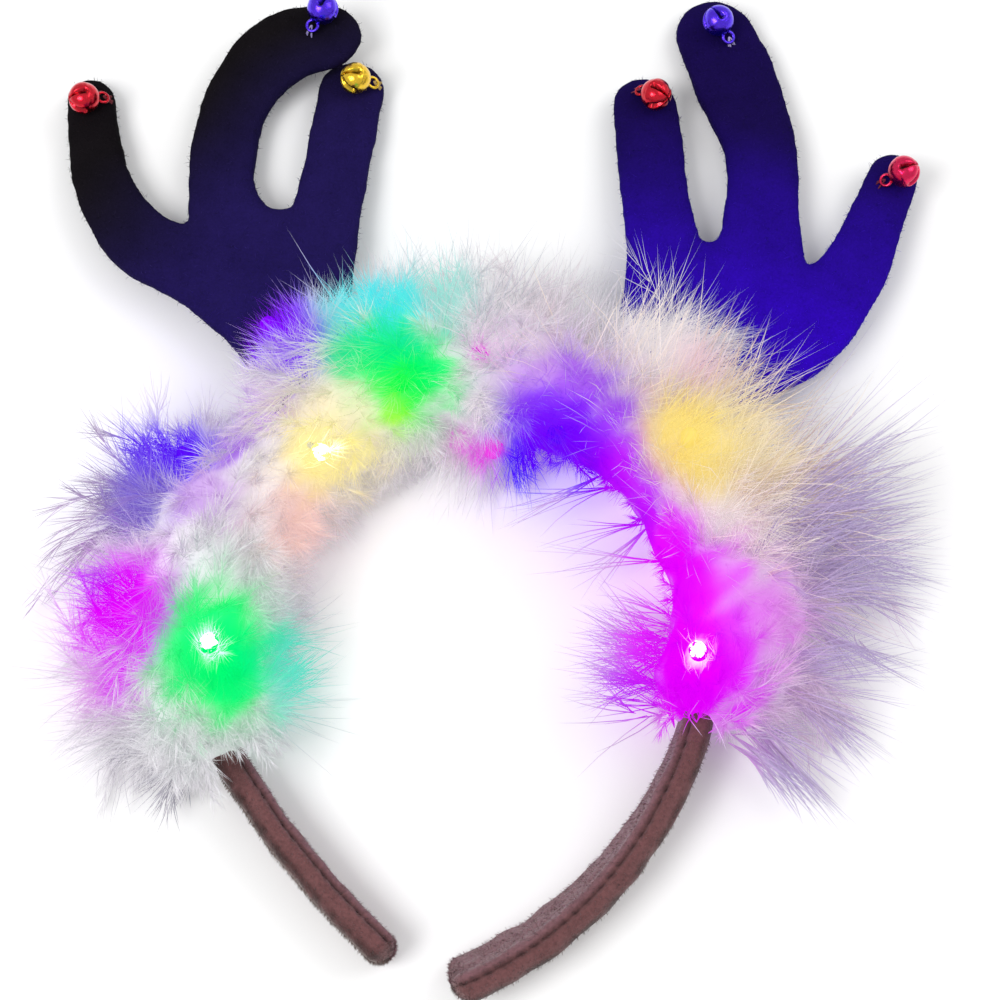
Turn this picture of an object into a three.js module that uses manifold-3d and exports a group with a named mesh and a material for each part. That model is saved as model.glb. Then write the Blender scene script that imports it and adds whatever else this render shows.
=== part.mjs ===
// Light-up reindeer headband lying on its side: a plush-covered hoop with a feather trim wound
// round its crown, two padded felt antlers with a jingle bell at each tine, and small lamps
// on leads in the feathers. Millimetres, +Z up. The hoop lies in the plane of the floor with
// its open end towards -Y and the antlers towards +Y.
import * as THREE from "three";
import { mergeVertices } from "three/addons/utils/BufferGeometryUtils.js";
import Module from "manifold-3d";

const wasm = await Module();
wasm.setup();

// Clearance between neighbouring pieces
const GAP = 0.3;

// Hoop: a round crown and two straighter legs, all tangent arcs. A leg leaves the crown at its
// angle from the top, and its top edge leans outwards at its end
const CROWN_RADIUS = 64;
const CROWN_CENTRE = new THREE.Vector3(0, -36, 0);
const LEFT_LEG = { crownAngle: 126, radius: 210, length: 61, lean: 2 };
const RIGHT_LEG = { crownAngle: 97, radius: 100, length: 102, lean: 34 };

// Band: a padded strip, thick across the hoop and wide along Z
const BAND_THICKNESS = 7.5;
const BAND_WIDTH = 15;
const BAND_CORNER = 3;
const BAND_STEP = 9.5;
const BAND_LIFT = 5; // the crown rides this high on the feathers, the tips touch the floor

// Antlers: padded felt of even thickness with round edges
const FELT_THICKNESS = 6.5;
const FELT_STEP = 9;

// Antlers slope from their root in the band down to the floor at the farthest tine.
// Each row is a station of a tine: its centre line, its width and how far it bends up there
const ANTLER_ROOT = { y: 16.5, z: 13 };
const LEFT_ANTLER = {
  floorY: 126,
  outer: [
    { x: -38, y: 16.5, width: 20, lift: 0 },
    { x: -50, y: 40, width: 26, lift: 0 },
    { x: -70, y: 56.5, width: 23, lift: 0 },
    { x: -90.4, y: 65.2, width: 19.5, lift: 0 },
    { x: -102.4, y: 79.8, width: 16.3, lift: 0 },
    { x: -108, y: 96, width: 14.5, lift: 0 },
    { x: -111.5, y: 114.5, width: 13, lift: 0 },
  ],
  main: [
    { x: -38, y: 16.5, width: 20, lift: 0 },
    { x: -49, y: 40, width: 28, lift: 0 },
    { x: -63, y: 62, width: 30, lift: 0 },
    { x: -71, y: 80, width: 19.5, lift: 0 },
    { x: -72.6, y: 96, width: 18.5, lift: 0 },
    { x: -69, y: 113.2, width: 19.2, lift: 2.5 },
    { x: -58.2, y: 125.8, width: 22.5, lift: 6.5 },
    { x: -38, y: 131, width: 17.5, lift: 8.5 },
  ],
  inner: [
    { x: -38, y: 16.5, width: 20, lift: 0 },
    { x: -46, y: 44, width: 26, lift: 0 },
    { x: -43.6, y: 72, width: 20, lift: 0 },
    { x: -41.6, y: 93, width: 18.3, lift: 0 },
    { x: -40.4, y: 110, width: 18.4, lift: 0 },
    { x: -39, y: 125.5, width: 19, lift: 0 },
  ],
  web: [
    { x: -66, y: 68, width: 19, lift: 0 },
    { x: -46, y: 69, width: 20, lift: 0 },
  ],
};
const RIGHT_ANTLER = {
  floorY: 152,
  outer: [
    { x: 38, y: 16.5, width: 20, lift: 0 },
    { x: 62, y: 38, width: 26, lift: 0 },
    { x: 83, y: 51, width: 25, lift: 0 },
    { x: 97, y: 69, width: 19, lift: 0 },
    { x: 104, y: 87, width: 15.5, lift: 0 },
    { x: 110, y: 106, width: 13.5, lift: 0 },
  ],
  main: [
    { x: 38, y: 16.5, width: 20, lift: 0 },
    { x: 56, y: 40, width: 30, lift: 0 },
    { x: 71, y: 64, width: 27, lift: 0 },
    { x: 73.2, y: 86, width: 21, lift: 0 },
    { x: 71.9, y: 106, width: 20.3, lift: 0 },
    { x: 64.6, y: 127, width: 24, lift: 0 },
    { x: 54, y: 150.5, width: 20.5, lift: 0 },
  ],
  inner: [
    { x: 38, y: 16.5, width: 20, lift: 0 },
    { x: 48, y: 44, width: 26, lift: 0 },
    { x: 47.5, y: 70, width: 20.5, lift: 0 },
    { x: 44.3, y: 90, width: 18.8, lift: 0 },
    { x: 42, y: 106, width: 18.8, lift: 0 },
    { x: 38.8, y: 125, width: 18, lift: 0 },
  ],
  web: [
    { x: 50, y: 66, width: 20, lift: 0 },
    { x: 74, y: 66, width: 20, lift: 0 },
  ],
};

// Bells: thin pressed shells with a cross slit opposite the sewing loop, each on a tine's tip.
// heading is the loop's direction on the felt, tip the slit's turn upwards, in degrees
const BELL_RADIUS = 4.2;
const BELL_WALL = 0.6;
const BELL_SIDES = 10;
const BELL_RINGS = 6;
const BELL_SLIT = 0.9;
const BELL_SLIT_TOP = 0.3; // the slit's ends lie this far below the equator
const BELL_LOOP_RADIUS = 1.5;
const BELL_LOOP_WIRE = 0.45;
const BELLS = [
  { tine: "left_outer", x: -110.8, y: 105, lift: 0, heading: 20, tip: 25, colour: 0xb01226 },
  { tine: "left_main", x: -48.5, y: 133.5, lift: 7.8, heading: -120, tip: 20, colour: 0x5a3fc6 },
  { tine: "left_inner", x: -38.4, y: 116.6, lift: 0, heading: 5, tip: 30, colour: 0xc79a3a },
  { tine: "right_inner", x: 43, y: 116.5, lift: 0, heading: 150, tip: 30, colour: 0xb01226 },
  { tine: "right_main", x: 59, y: 141, lift: 0, heading: -50, tip: 25, colour: 0x5a3fc6 },
  { tine: "right_outer", x: 109.8, y: 97.5, lift: 0, heading: -160, tip: 30, colour: 0xb5123c },
];

// Lamps: angle round the crown's centre from +X in degrees, distance from it, and height
const LAMP_RADIUS = 2.6;
const LAMP_SIDES = 10;
const LAMP_RINGS = 4;
const LAMPS = [
  { angle: 192.5, reach: 59, z: 35, colour: 0x00e060 },
  { angle: 182, reach: 82, z: 21, colour: 0xe000f0 },
  { angle: 151, reach: 81, z: 20, colour: 0x5010ff },
  { angle: 133.5, reach: 51, z: 35, colour: 0xfff0b0 },
  { angle: 125.5, reach: 91, z: 24, colour: 0x7a20ff },
  { angle: 107, reach: 59, z: 36, colour: 0x00e0a0 },
  { angle: 88.5, reach: 66, z: 34, colour: 0xf090d0 },
  { angle: 82, reach: 47, z: 19, colour: 0xe000f0 },
  { angle: 66, reach: 54, z: 24, colour: 0x2030ff },
  { angle: 41, reach: 73, z: 34, colour: 0xffe070 },
  { angle: -5.5, reach: 60, z: 32, colour: 0xe000f0 },
];
const WIRE_RADIUS = 0.8;
const WIRE_SIDES = 5;
const WIRE_STEP = 10;
const WIRE_END_ANGLES = [200, -12]; // the wire's ends, degrees round the crown's centre

// Feather trim: a soft core round the band and tapered, bent locks standing out of it
const TRIM_ANGLES = [215, -22]; // the trim's ends, degrees round the crown's centre
const CORE_SHARE = { out: 0.7, up: 0.78, inside: 0.82 }; // of the feathers' reach
const CORE_DOWN = 18;
const CORE_SIDES = 10;
const CORE_STEP = 13;
const LOCK_COUNT = 45;
const LOCK_WIDTH = 28; // a lock is a flat tuft, widest along the hoop
const LOCK_THICKNESS = { outside: 16, inside: 9 };
const LOCK_RISE = [-8, 180]; // first and last direction, from the floor outside over to inside
const LOCK_CURL = 0.28; // sideways bend as a share of the lock's length
const LOCK_SPREAD = 0.12; // how much shorter the shortest locks are
const LOCK_INSET = 5; // degrees from the trim's ends to the first and last lock
const GOLDEN_TURN = 0.618034;
const LOCK_STATIONS = [
  { along: 0.3, girth: 1 },
  { along: 0.78, girth: 0.92 },
  { along: 1.03, girth: 0.24 },
];
// How far the longest feathers reach from the band's centre line, outwards, up and inwards
const FEATHER_REACH = [
  { angle: 215, out: 12, up: 18, inside: 14 },
  { angle: 205, out: 31, up: 31, inside: 23 },
  { angle: 195, out: 38, up: 35, inside: 26 },
  { angle: 185, out: 38, up: 36, inside: 26 },
  { angle: 172, out: 35, up: 36, inside: 25 },
  { angle: 160, out: 46, up: 33, inside: 25 },
  { angle: 150, out: 27, up: 29, inside: 25 },
  { angle: 140, out: 13, up: 28, inside: 23 },
  { angle: 131, out: 19, up: 32, inside: 21 },
  { angle: 122, out: 33, up: 37, inside: 20 },
  { angle: 109, out: 43, up: 40, inside: 20 },
  { angle: 98, out: 41, up: 40, inside: 21 },
  { angle: 85, out: 46, up: 38, inside: 22 },
  { angle: 70, out: 42, up: 36, inside: 13 },
  { angle: 57, out: 53, up: 36, inside: 11 },
  { angle: 44, out: 54, up: 37, inside: 12 },
  { angle: 25, out: 60, up: 37, inside: 12 },
  { angle: 16, out: 65, up: 36, inside: 12 },
  { angle: 6, out: 52, up: 36, inside: 14 },
  { angle: -8, out: 47, up: 32, inside: 18 },
  { angle: -22, out: 28, up: 23, inside: 14 },
];

const FLOOR_SPAN = 500;
const UP = new THREE.Vector3(0, 0, 1);
const { degToRad, radToDeg, lerp, smoothstep } = THREE.MathUtils;

// Solids and meshes

function solid(geometry) {
  const bare = geometry.clone();
  bare.deleteAttribute("normal");
  bare.deleteAttribute("uv");
  const merged = mergeVertices(bare, 1e-4);
  return new wasm.Manifold(
    new wasm.Mesh({
      numProp: 3,
      vertProperties: Float32Array.from(merged.attributes.position.array),
      triVerts: Uint32Array.from(merged.index.array),
    }),
  );
}

function geometryOf(body) {
  const { vertProperties, triVerts } = body.getMesh();
  const geometry = new THREE.BufferGeometry();
  geometry.setAttribute("position", new THREE.BufferAttribute(vertProperties, 3));
  geometry.setIndex(new THREE.BufferAttribute(triVerts, 1));
  return geometry;
}

function union(bodies) {
  return bodies.reduce((sum, body) => sum.add(body));
}

// Tips that a cut leaves loose are dropped: only the body with the most material stays
function mainBody(body) {
  return body.decompose().reduce((a, b) => (a.volume() > b.volume() ? a : b));
}

// Skin through closed sections with equal numbers of points, each anticlockwise when the
// next section is nearer to the eye, with a flat cap at both ends
function loft(sections) {
  const sides = sections[0].length;
  const middle = (section) =>
    section.reduce((sum, point) => sum.add(point), new THREE.Vector3()).divideScalar(sides);
  const points = [...sections.flat(), middle(sections[0]), middle(sections.at(-1))];
  const lastRow = (sections.length - 1) * sides;
  const firstMiddle = lastRow + sides;
  const lastMiddle = firstMiddle + 1;
  const indices = [];
  for (let j = 0; j < sides; j += 1) {
    const next = (j + 1) % sides;
    indices.push(firstMiddle, next, j);
    for (let row = 0; row < lastRow; row += sides) {
      const above = row + sides;
      indices.push(row + j, row + next, above + next);
      indices.push(row + j, above + next, above + j);
    }
    indices.push(lastMiddle, lastRow + j, lastRow + next);
  }
  const geometry = new THREE.BufferGeometry().setFromPoints(points);
  geometry.setIndex(indices);
  return geometry;
}

function tube(points, radius, sides, steps) {
  const corners = Array.from({ length: sides }, (_, i) => {
    const turn = (2 * Math.PI * i) / sides;
    return new THREE.Vector2(radius * Math.cos(turn), radius * Math.sin(turn));
  });
  const extrudePath = new THREE.CatmullRomCurve3(points);
  return new THREE.ExtrudeGeometry(new THREE.Shape(corners), { extrudePath, steps });
}

function piece(name, geometry, color, roughness, metalness = 0) {
  const material = new THREE.MeshStandardMaterial({ color, roughness, metalness });
  const mesh = new THREE.Mesh(geometry, material);
  mesh.name = name;
  return mesh;
}

// Hoop's centre line, by the signed distance along it from the top, positive to the right

function legOf(distance) {
  return distance < 0 ? LEFT_LEG : RIGHT_LEG;
}

function crownLength(leg) {
  return degToRad(leg.crownAngle) * CROWN_RADIUS;
}

function halfLength(leg) {
  return crownLength(leg) + leg.length;
}

function hoopAt(distance) {
  const leg = legOf(distance);
  const side = Math.sign(distance);
  const onCrown = Math.min(Math.abs(distance), crownLength(leg));
  const crownTurn = onCrown / CROWN_RADIUS;
  const turn = crownTurn + (Math.abs(distance) - onCrown) / leg.radius;
  const normal = (angle) => new THREE.Vector3(side * Math.sin(angle), Math.cos(angle), 0);
  const outward = normal(turn);
  const point = CROWN_CENTRE.clone().addScaledVector(normal(crownTurn), CROWN_RADIUS - leg.radius);
  point.addScaledVector(outward, leg.radius);
  return { point, outward };
}

// Angles are degrees round the crown's centre, from +X towards +Y
function distanceAtAngle(angle) {
  return degToRad(90 - angle) * CROWN_RADIUS;
}

function angleAtDistance(distance) {
  return 90 - radToDeg(distance / CROWN_RADIUS);
}

function leanAt(distance) {
  const leg = legOf(distance);
  const share = smoothstep(Math.abs(distance), crownLength(leg) - leg.length / 4, halfLength(leg));
  return degToRad(leg.lean) * share;
}

// Height of the band's centre: its lower edge rises from the tips to the crown
function bandHeight(distance) {
  const lean = leanAt(distance);
  const low = (BAND_WIDTH / 2) * Math.cos(lean) + (BAND_THICKNESS / 2) * Math.sin(lean);
  const tipY = hoopAt(halfLength(RIGHT_LEG)).point.y;
  const topY = hoopAt(0).point.y;
  return low + BAND_LIFT * ((hoopAt(distance).point.y - tipY) / (topY - tipY));
}

function bandMiddle(distance) {
  return hoopAt(distance).point.setZ(bandHeight(distance));
}

// Rounded rectangle across the band. A room round it is larger by margin, with headroom above
function bandSection(distance, { margin = 0, headroom = 0, scale = 1 }) {
  const { outward } = hoopAt(distance);
  const lean = leanAt(distance);
  const across = outward.clone().multiplyScalar(Math.cos(lean)).addScaledVector(UP, -Math.sin(lean));
  const along = UP.clone().multiplyScalar(Math.cos(lean)).addScaledVector(outward, Math.sin(lean));
  const halfThickness = (BAND_THICKNESS / 2 + margin - BAND_CORNER) * scale;
  const halfWidth = (BAND_WIDTH / 2 + margin - BAND_CORNER) * scale;
  const corner = BAND_CORNER * scale;
  const section = [];
  for (let quarter = 0; quarter < 4; quarter += 1) {
    const sideways = quarter === 0 || quarter === 3 ? 1 : -1;
    const upwards = quarter < 2 ? 1 : -1;
    for (const step of [0, 45, 90]) {
      const turn = degToRad(90 * quarter + step);
      const x = sideways * halfThickness + corner * Math.cos(turn);
      const y = upwards * halfWidth + corner * Math.sin(turn) + (upwards > 0 ? headroom : 0);
      section.push(bandMiddle(distance).addScaledVector(across, x).addScaledVector(along, y));
    }
  }
  return section;
}

function sweepBand(from, to, size) {
  const steps = Math.round((to - from) / BAND_STEP);
  const marks = Array.from({ length: steps + 1 }, (_, i) => lerp(from, to, i / steps));
  return marks.map((distance) => bandSection(distance, size));
}

function bandGeometry() {
  const inset = BAND_THICKNESS / 2;
  const left = inset - halfLength(LEFT_LEG);
  const right = halfLength(RIGHT_LEG) - inset;
  const sections = sweepBand(left, right, {});
  for (const turn of [35, 65].map(degToRad)) {
    const scale = Math.cos(turn);
    sections.unshift(bandSection(left - inset * Math.sin(turn), { scale }));
    sections.push(bandSection(right + inset * Math.sin(turn), { scale }));
  }
  return loft(sections);
}

// Room for the band and for the wire that lies along its upper edge
function bandRoom() {
  const size = { margin: GAP, headroom: 2 * WIRE_RADIUS + GAP };
  return solid(loft(sweepBand(-halfLength(LEFT_LEG), halfLength(RIGHT_LEG), size)));
}

// Antlers

function strokeSection(point, across, width, margin) {
  const round = FELT_THICKNESS / 2 + margin;
  const flat = Math.max((width - FELT_THICKNESS) / 2, 0.5);
  const section = [];
  for (const side of [1, -1]) {
    for (const turn of [90, 45, 0, -45, -90].map(degToRad)) {
      const x = side * (flat + round * Math.cos(turn));
      const z = side * round * Math.sin(turn);
      section.push(point.clone().addScaledVector(across, x).addScaledVector(UP, z));
    }
  }
  return section;
}

// One stroke of flat felt along its stations, with a round end where it is a tine
function stroke(stations, roundEnd, margin) {
  const path = new THREE.CatmullRomCurve3(
    stations.map(({ x, y, lift }) => new THREE.Vector3(x, y, lift)),
  );
  const widths = new THREE.CatmullRomCurve3(stations.map(({ width }) => new THREE.Vector3(width)));
  const length = path.getLength();
  const end = roundEnd ? stations.at(-1).width / 2 : 0;
  const straight = length - end;
  const steps = Math.ceil(straight / FELT_STEP);
  const marks = Array.from({ length: steps + 1 }, (_, i) => ({ at: (straight * i) / steps, share: 1 }));
  if (roundEnd) {
    for (const turn of [30, 58, 80].map(degToRad)) {
      marks.push({ at: straight + end * Math.sin(turn), share: Math.cos(turn) });
    }
  }
  const sections = marks.map(({ at, share }) => {
    const t = path.getUtoTmapping(at / length);
    const tangent = path.getTangent(t);
    const across = new THREE.Vector3(tangent.y, -tangent.x, 0).normalize();
    return strokeSection(path.getPoint(t), across, widths.getPoint(t).x * share, margin);
  });
  return solid(loft(sections));
}

function feltHeight({ floorY }, y) {
  const slope = (ANTLER_ROOT.z - FELT_THICKNESS / 2) / (floorY - ANTLER_ROOT.y);
  return ANTLER_ROOT.z - slope * (y - ANTLER_ROOT.y);
}

// Tines and web fused flat, then sloped so that the farthest tine comes down to the floor
function antler(shape, margin = 0) {
  const tines = [shape.outer, shape.main, shape.inner].map((tine) => stroke(tine, true, margin));
  const flat = geometryOf(union([stroke(shape.web, false, margin), ...tines]));
  const slope = feltHeight(shape, 1) - feltHeight(shape, 0);
  const tilt = new THREE.Matrix4().makeShear(0, 0, 0, slope, 0, 0).setPosition(0, 0, feltHeight(shape, 0));
  return solid(flat.applyMatrix4(tilt));
}

// Bells

function bellGeometry() {
  const ball = (radius, rings) =>
    solid(new THREE.SphereGeometry(radius, BELL_SIDES, rings).rotateX(Math.PI / 2));
  const slit = new THREE.BoxGeometry(3 * BELL_RADIUS, BELL_SLIT, BELL_RADIUS);
  slit.translate(0, 0, -BELL_SLIT_TOP - BELL_RADIUS / 2);
  const loop = new THREE.TorusGeometry(BELL_LOOP_RADIUS, BELL_LOOP_WIRE, WIRE_SIDES, BELL_SIDES);
  loop.rotateY(Math.PI / 2).translate(0, 0, BELL_RADIUS + BELL_LOOP_RADIUS - BELL_LOOP_WIRE);
  const hollow = ball(BELL_RADIUS - BELL_WALL, BELL_RINGS - 2);
  const shell = ball(BELL_RADIUS, BELL_RINGS).add(solid(loop)).subtract(hollow);
  return geometryOf(shell.subtract(solid(slit)).subtract(solid(slit.clone().rotateZ(Math.PI / 2))));
}

function bells() {
  const group = new THREE.Group();
  const shell = bellGeometry();
  for (const { tine, x, y, lift, heading, tip, colour } of BELLS) {
    const bell = piece(`bell_${tine}`, shell, colour, 0.25, 1);
    const felt = feltHeight(x < 0 ? LEFT_ANTLER : RIGHT_ANTLER, y) + lift + FELT_THICKNESS / 2;
    bell.position.set(x, y, felt + GAP + BELL_RADIUS);
    bell.rotation.set(0, degToRad(90 + tip), degToRad(heading), "ZYX");
    group.add(bell);
  }
  return group;
}

// Lamps and their wire

function lampPlace({ angle, reach, z }) {
  const turn = degToRad(angle);
  return new THREE.Vector3(reach * Math.cos(turn), reach * Math.sin(turn), z).add(CROWN_CENTRE);
}

function lampGeometry(lamp, margin = 0) {
  const ball = new THREE.SphereGeometry(LAMP_RADIUS + margin, LAMP_SIDES, LAMP_RINGS).rotateX(Math.PI / 2);
  return ball.translate(...lampPlace(lamp).toArray());
}

function wirePoint(distance) {
  return bandMiddle(distance).addScaledVector(UP, BAND_WIDTH / 2 + GAP + WIRE_RADIUS);
}

// Short lead from the wire to a lamp
function lead(lamp, margin = 0) {
  const root = wirePoint(distanceAtAngle(lamp.angle));
  const head = lampPlace(lamp);
  const tip = head.clone().lerp(root, (LAMP_RADIUS + GAP - margin) / root.distanceTo(head));
  return solid(tube([root, tip], WIRE_RADIUS + margin, WIRE_SIDES, 1));
}

// Main wire along the band's upper edge with its leads
function lightWire() {
  const [from, to] = WIRE_END_ANGLES.map(distanceAtAngle);
  const steps = Math.round((to - from) / WIRE_STEP);
  const run = Array.from({ length: steps + 1 }, (_, i) => wirePoint(lerp(from, to, i / steps)));
  return union([solid(tube(run, WIRE_RADIUS, WIRE_SIDES, steps)), ...LAMPS.map((lamp) => lead(lamp))]);
}

// Feather trim

function reachAt(angle) {
  const row = Math.max(FEATHER_REACH.findIndex((station) => station.angle <= angle), 1);
  const left = FEATHER_REACH[row - 1];
  const right = FEATHER_REACH[row];
  const share = (left.angle - angle) / (left.angle - right.angle);
  const blend = (side) => lerp(left[side], right[side], share);
  return { out: blend("out"), up: blend("up"), inside: blend("inside") };
}

function trimCore() {
  const [from, to] = TRIM_ANGLES.map(distanceAtAngle);
  const steps = Math.round((to - from) / CORE_STEP);
  const sections = Array.from({ length: steps + 1 }, (_, i) => {
    const distance = lerp(from, to, i / steps);
    const { out, up, inside } = reachAt(angleAtDistance(distance));
    return Array.from({ length: CORE_SIDES }, (__, j) => {
      const turn = (2 * Math.PI * (j + 0.5)) / CORE_SIDES;
      const x = Math.cos(turn) * (Math.cos(turn) > 0 ? CORE_SHARE.out * out : CORE_SHARE.inside * inside);
      const z = Math.sin(turn) * (Math.sin(turn) > 0 ? CORE_SHARE.up * up : CORE_DOWN);
      return bandMiddle(distance).addScaledVector(hoopAt(distance).outward, x).addScaledVector(UP, z);
    });
  });
  return solid(loft(sections));
}

// One lock, from the band's centre line to the outer form of the feathers
function lock(index) {
  const [from, to] = TRIM_ANGLES;
  const angle = lerp(from - LOCK_INSET, to + LOCK_INSET, (index + 0.5) / LOCK_COUNT);
  const rise = degToRad(lerp(...LOCK_RISE, (index * GOLDEN_TURN) % 1));
  const { out, up, inside } = reachAt(angle);
  const outside = Math.cos(rise) > 0;
  const side = outside ? out : inside;
  const thickness = outside ? LOCK_THICKNESS.outside : LOCK_THICKNESS.inside;
  const form = 1 / Math.hypot(Math.cos(rise) / side, Math.sin(rise) / up);
  const length = form * (1 - LOCK_SPREAD * (0.5 + 0.5 * Math.sin(2.4 * index)));
  const distance = distanceAtAngle(angle);
  const { outward } = hoopAt(distance);
  const onward = new THREE.Vector3(outward.y, -outward.x, 0);
  const away = outward.clone().multiplyScalar(Math.cos(rise)).addScaledVector(UP, Math.sin(rise));
  const beside = new THREE.Vector3().crossVectors(away, onward);
  const curl = LOCK_CURL * length * Math.sin(1.7 * index);
  const sections = LOCK_STATIONS.map(({ along, girth }) => {
    const spot = bandMiddle(distance).addScaledVector(away, along * length);
    spot.addScaledVector(onward, curl * along ** 2);
    const half = onward.clone().multiplyScalar((girth * LOCK_WIDTH) / 2);
    const thin = beside.clone().multiplyScalar((girth * thickness) / 2);
    return [half, thin, half.clone().negate(), thin.clone().negate()].map((corner) => corner.add(spot));
  });
  return solid(loft(sections));
}

function floorBlock() {
  const block = new THREE.BoxGeometry(FLOOR_SPAN, FLOOR_SPAN, FLOOR_SPAN);
  return solid(block.translate(0, 0, -FLOOR_SPAN / 2));
}

// Feathers lie flat on the floor and leave room for what passes through them
function featherTrim(room) {
  const locks = Array.from({ length: LOCK_COUNT }, (_, index) => lock(index));
  const fluff = union([trimCore(), ...locks]).subtract(floorBlock());
  return mainBody(room.reduce((rest, body) => rest.subtract(body), fluff));
}

function build() {
  const headband = new THREE.Group();
  const antlers = { antler_left: LEFT_ANTLER, antler_right: RIGHT_ANTLER };

  headband.add(piece("band", bandGeometry(), 0x5d3b3c, 0.95));
  for (const [name, shape] of Object.entries(antlers)) {
    headband.add(piece(name, geometryOf(antler(shape).subtract(bandRoom())), 0x1c1233, 0.95));
  }
  headband.add(bells());
  headband.add(piece("light_wire", geometryOf(lightWire()), 0xd8d8d0, 0.5));
  LAMPS.forEach((lamp, index) => {
    const name = `lamp_${String(index + 1).padStart(2, "0")}`;
    headband.add(piece(name, lampGeometry(lamp), lamp.colour, 0.3));
  });
  const room = [
    bandRoom(),
    ...Object.values(antlers).map((shape) => antler(shape, GAP)),
    ...LAMPS.map((lamp) => lead(lamp, GAP).add(solid(lampGeometry(lamp, GAP)))),
  ];
  headband.add(piece("feather_trim", geometryOf(featherTrim(room)), 0xe6e4e8, 1));

  // Origin under the middle of the whole headband
  const bounds = new THREE.Box3().setFromObject(headband);
  const middle = bounds.getCenter(new THREE.Vector3());
  headband.position.set(-middle.x, -middle.y, -bounds.min.z);
  return headband;
}

export default build();
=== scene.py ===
"""Dresses the light-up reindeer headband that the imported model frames.

The plush band, felt antlers, jingle bells, lamps and feather trim are worked out in millimetres in
the maker's own frame: the hoop's axis of symmetry is x = 0, +Y runs to the antlers and +Z is up.
A mesh is moved to the row frame, in metres, when it is made.
"""

from __future__ import annotations

import logging
from dataclasses import dataclass, field, fields
from enum import Enum
from typing import Any, Optional, Sequence, Union

import bpy
import numpy as np
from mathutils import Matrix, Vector


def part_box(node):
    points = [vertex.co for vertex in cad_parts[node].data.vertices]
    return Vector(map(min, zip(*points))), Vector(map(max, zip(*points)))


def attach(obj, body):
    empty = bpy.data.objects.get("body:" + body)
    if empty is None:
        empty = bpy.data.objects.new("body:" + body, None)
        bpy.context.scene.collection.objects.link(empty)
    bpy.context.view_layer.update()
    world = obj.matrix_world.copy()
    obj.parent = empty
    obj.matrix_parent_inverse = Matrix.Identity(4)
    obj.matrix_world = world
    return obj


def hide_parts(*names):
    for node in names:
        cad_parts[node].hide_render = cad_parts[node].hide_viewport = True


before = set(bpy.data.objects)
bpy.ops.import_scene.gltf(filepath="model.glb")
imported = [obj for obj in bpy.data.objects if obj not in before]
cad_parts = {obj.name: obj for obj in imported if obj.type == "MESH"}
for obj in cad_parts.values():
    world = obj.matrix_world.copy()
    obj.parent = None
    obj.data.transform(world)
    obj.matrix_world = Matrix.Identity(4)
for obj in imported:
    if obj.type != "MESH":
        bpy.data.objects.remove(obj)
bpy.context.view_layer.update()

LOG = logging.getLogger("headband")
BODY = "root"
MM = 0.001
UP = np.array((0.0, 0.0, 1.0))
FULL_TURN = 2.0 * np.pi
GOLDEN_SHARE = 0.618034
TINY = 1e-9
OFF_AXIS = 0.01
WAVES = 7
WAVE_SPREAD = (0.7, 1.5)
WAVE_GAIN = 1.9
STRAND_SIDES = 3
Array = np.ndarray
Colour = tuple[int, int, int]
Span = tuple[float, float]


class Slot(Enum):
    """The record's material slots."""

    BAND = "band_plush"
    FELT = "antler_felt"
    FEATHERS = "feathers"
    WIRE = "wire"
    BELL_RED = "bell_red"
    BELL_CRIMSON = "bell_crimson"
    BELL_VIOLET = "bell_violet"
    BELL_GOLD = "bell_gold"
    LAMP_GREEN = "lamp_green"
    LAMP_MAGENTA = "lamp_magenta"
    LAMP_BLUE = "lamp_blue"
    LAMP_WARM_WHITE = "lamp_warm_white"
    LAMP_VIOLET = "lamp_violet"
    LAMP_PINK = "lamp_pink"
    LAMP_YELLOW = "lamp_yellow"


def linear(red: float, green: float, blue: float) -> Array:
    """Linear RGB of a display colour given as 0 to 255, by the sRGB curve."""
    share = np.array((red, green, blue), float) / 255.0
    return np.where(share <= 0.04045, share / 12.92, ((share + 0.055) / 1.055) ** 2.4)


def smoothstep(value: Array, low: float, high: float) -> Array:
    """Cubic ease from 0 at low to 1 at high."""
    share = np.clip((value - low) / (high - low), 0.0, 1.0)
    return share * share * (3.0 - 2.0 * share)


def hump(value: Array, width: float) -> Array:
    """Smooth hump: 1 at zero and 1/e at its width on both sides."""
    return np.exp(-((value / width) ** 2))


def unit(vectors: Array) -> Array:
    """The vectors of the last axis at length one."""
    return vectors / np.maximum(np.linalg.norm(vectors, axis=-1, keepdims=True), TINY)


def circle(count: int) -> Array:
    """Angles of a full turn at even steps."""
    return np.linspace(0.0, FULL_TURN, count, endpoint=False)


def spokes(side: Array, rise: Array, turn: Array) -> Array:
    """Directions turned from side towards rise, as (rows, turns, 3)."""
    return side[:, None] * np.cos(turn)[:, None] + rise[:, None] * np.sin(turn)[:, None]


def ripple(points: Array, wavelength: float, seed: int) -> Array:
    """Smooth noise of about -1 to 1: the mean of a few sine waves in seeded directions.

    Args:
        points: Places of any count, with three coordinates on the last axis.
        wavelength: Mean length of the waves, in the points' unit.
        seed: Seed of the directions and phases.

    Returns:
        One value for each place.
    """
    rng = np.random.default_rng(seed)
    heading = unit(rng.normal(size=(3, WAVES)).T).T
    waves = heading * (FULL_TURN / wavelength) * rng.uniform(*WAVE_SPREAD, WAVES)
    return np.sin(points @ waves + rng.uniform(0.0, FULL_TURN, WAVES)).mean(-1) * WAVE_GAIN


@dataclass(frozen=True)
class Wave:
    """Soft noise with its own height, wavelength and seed."""

    height: float
    length: float
    seed: int

    def at(self, points: Array) -> Array:
        """Its value at each point, of about -height to height."""
        return self.height * ripple(points, self.length, self.seed)


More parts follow.
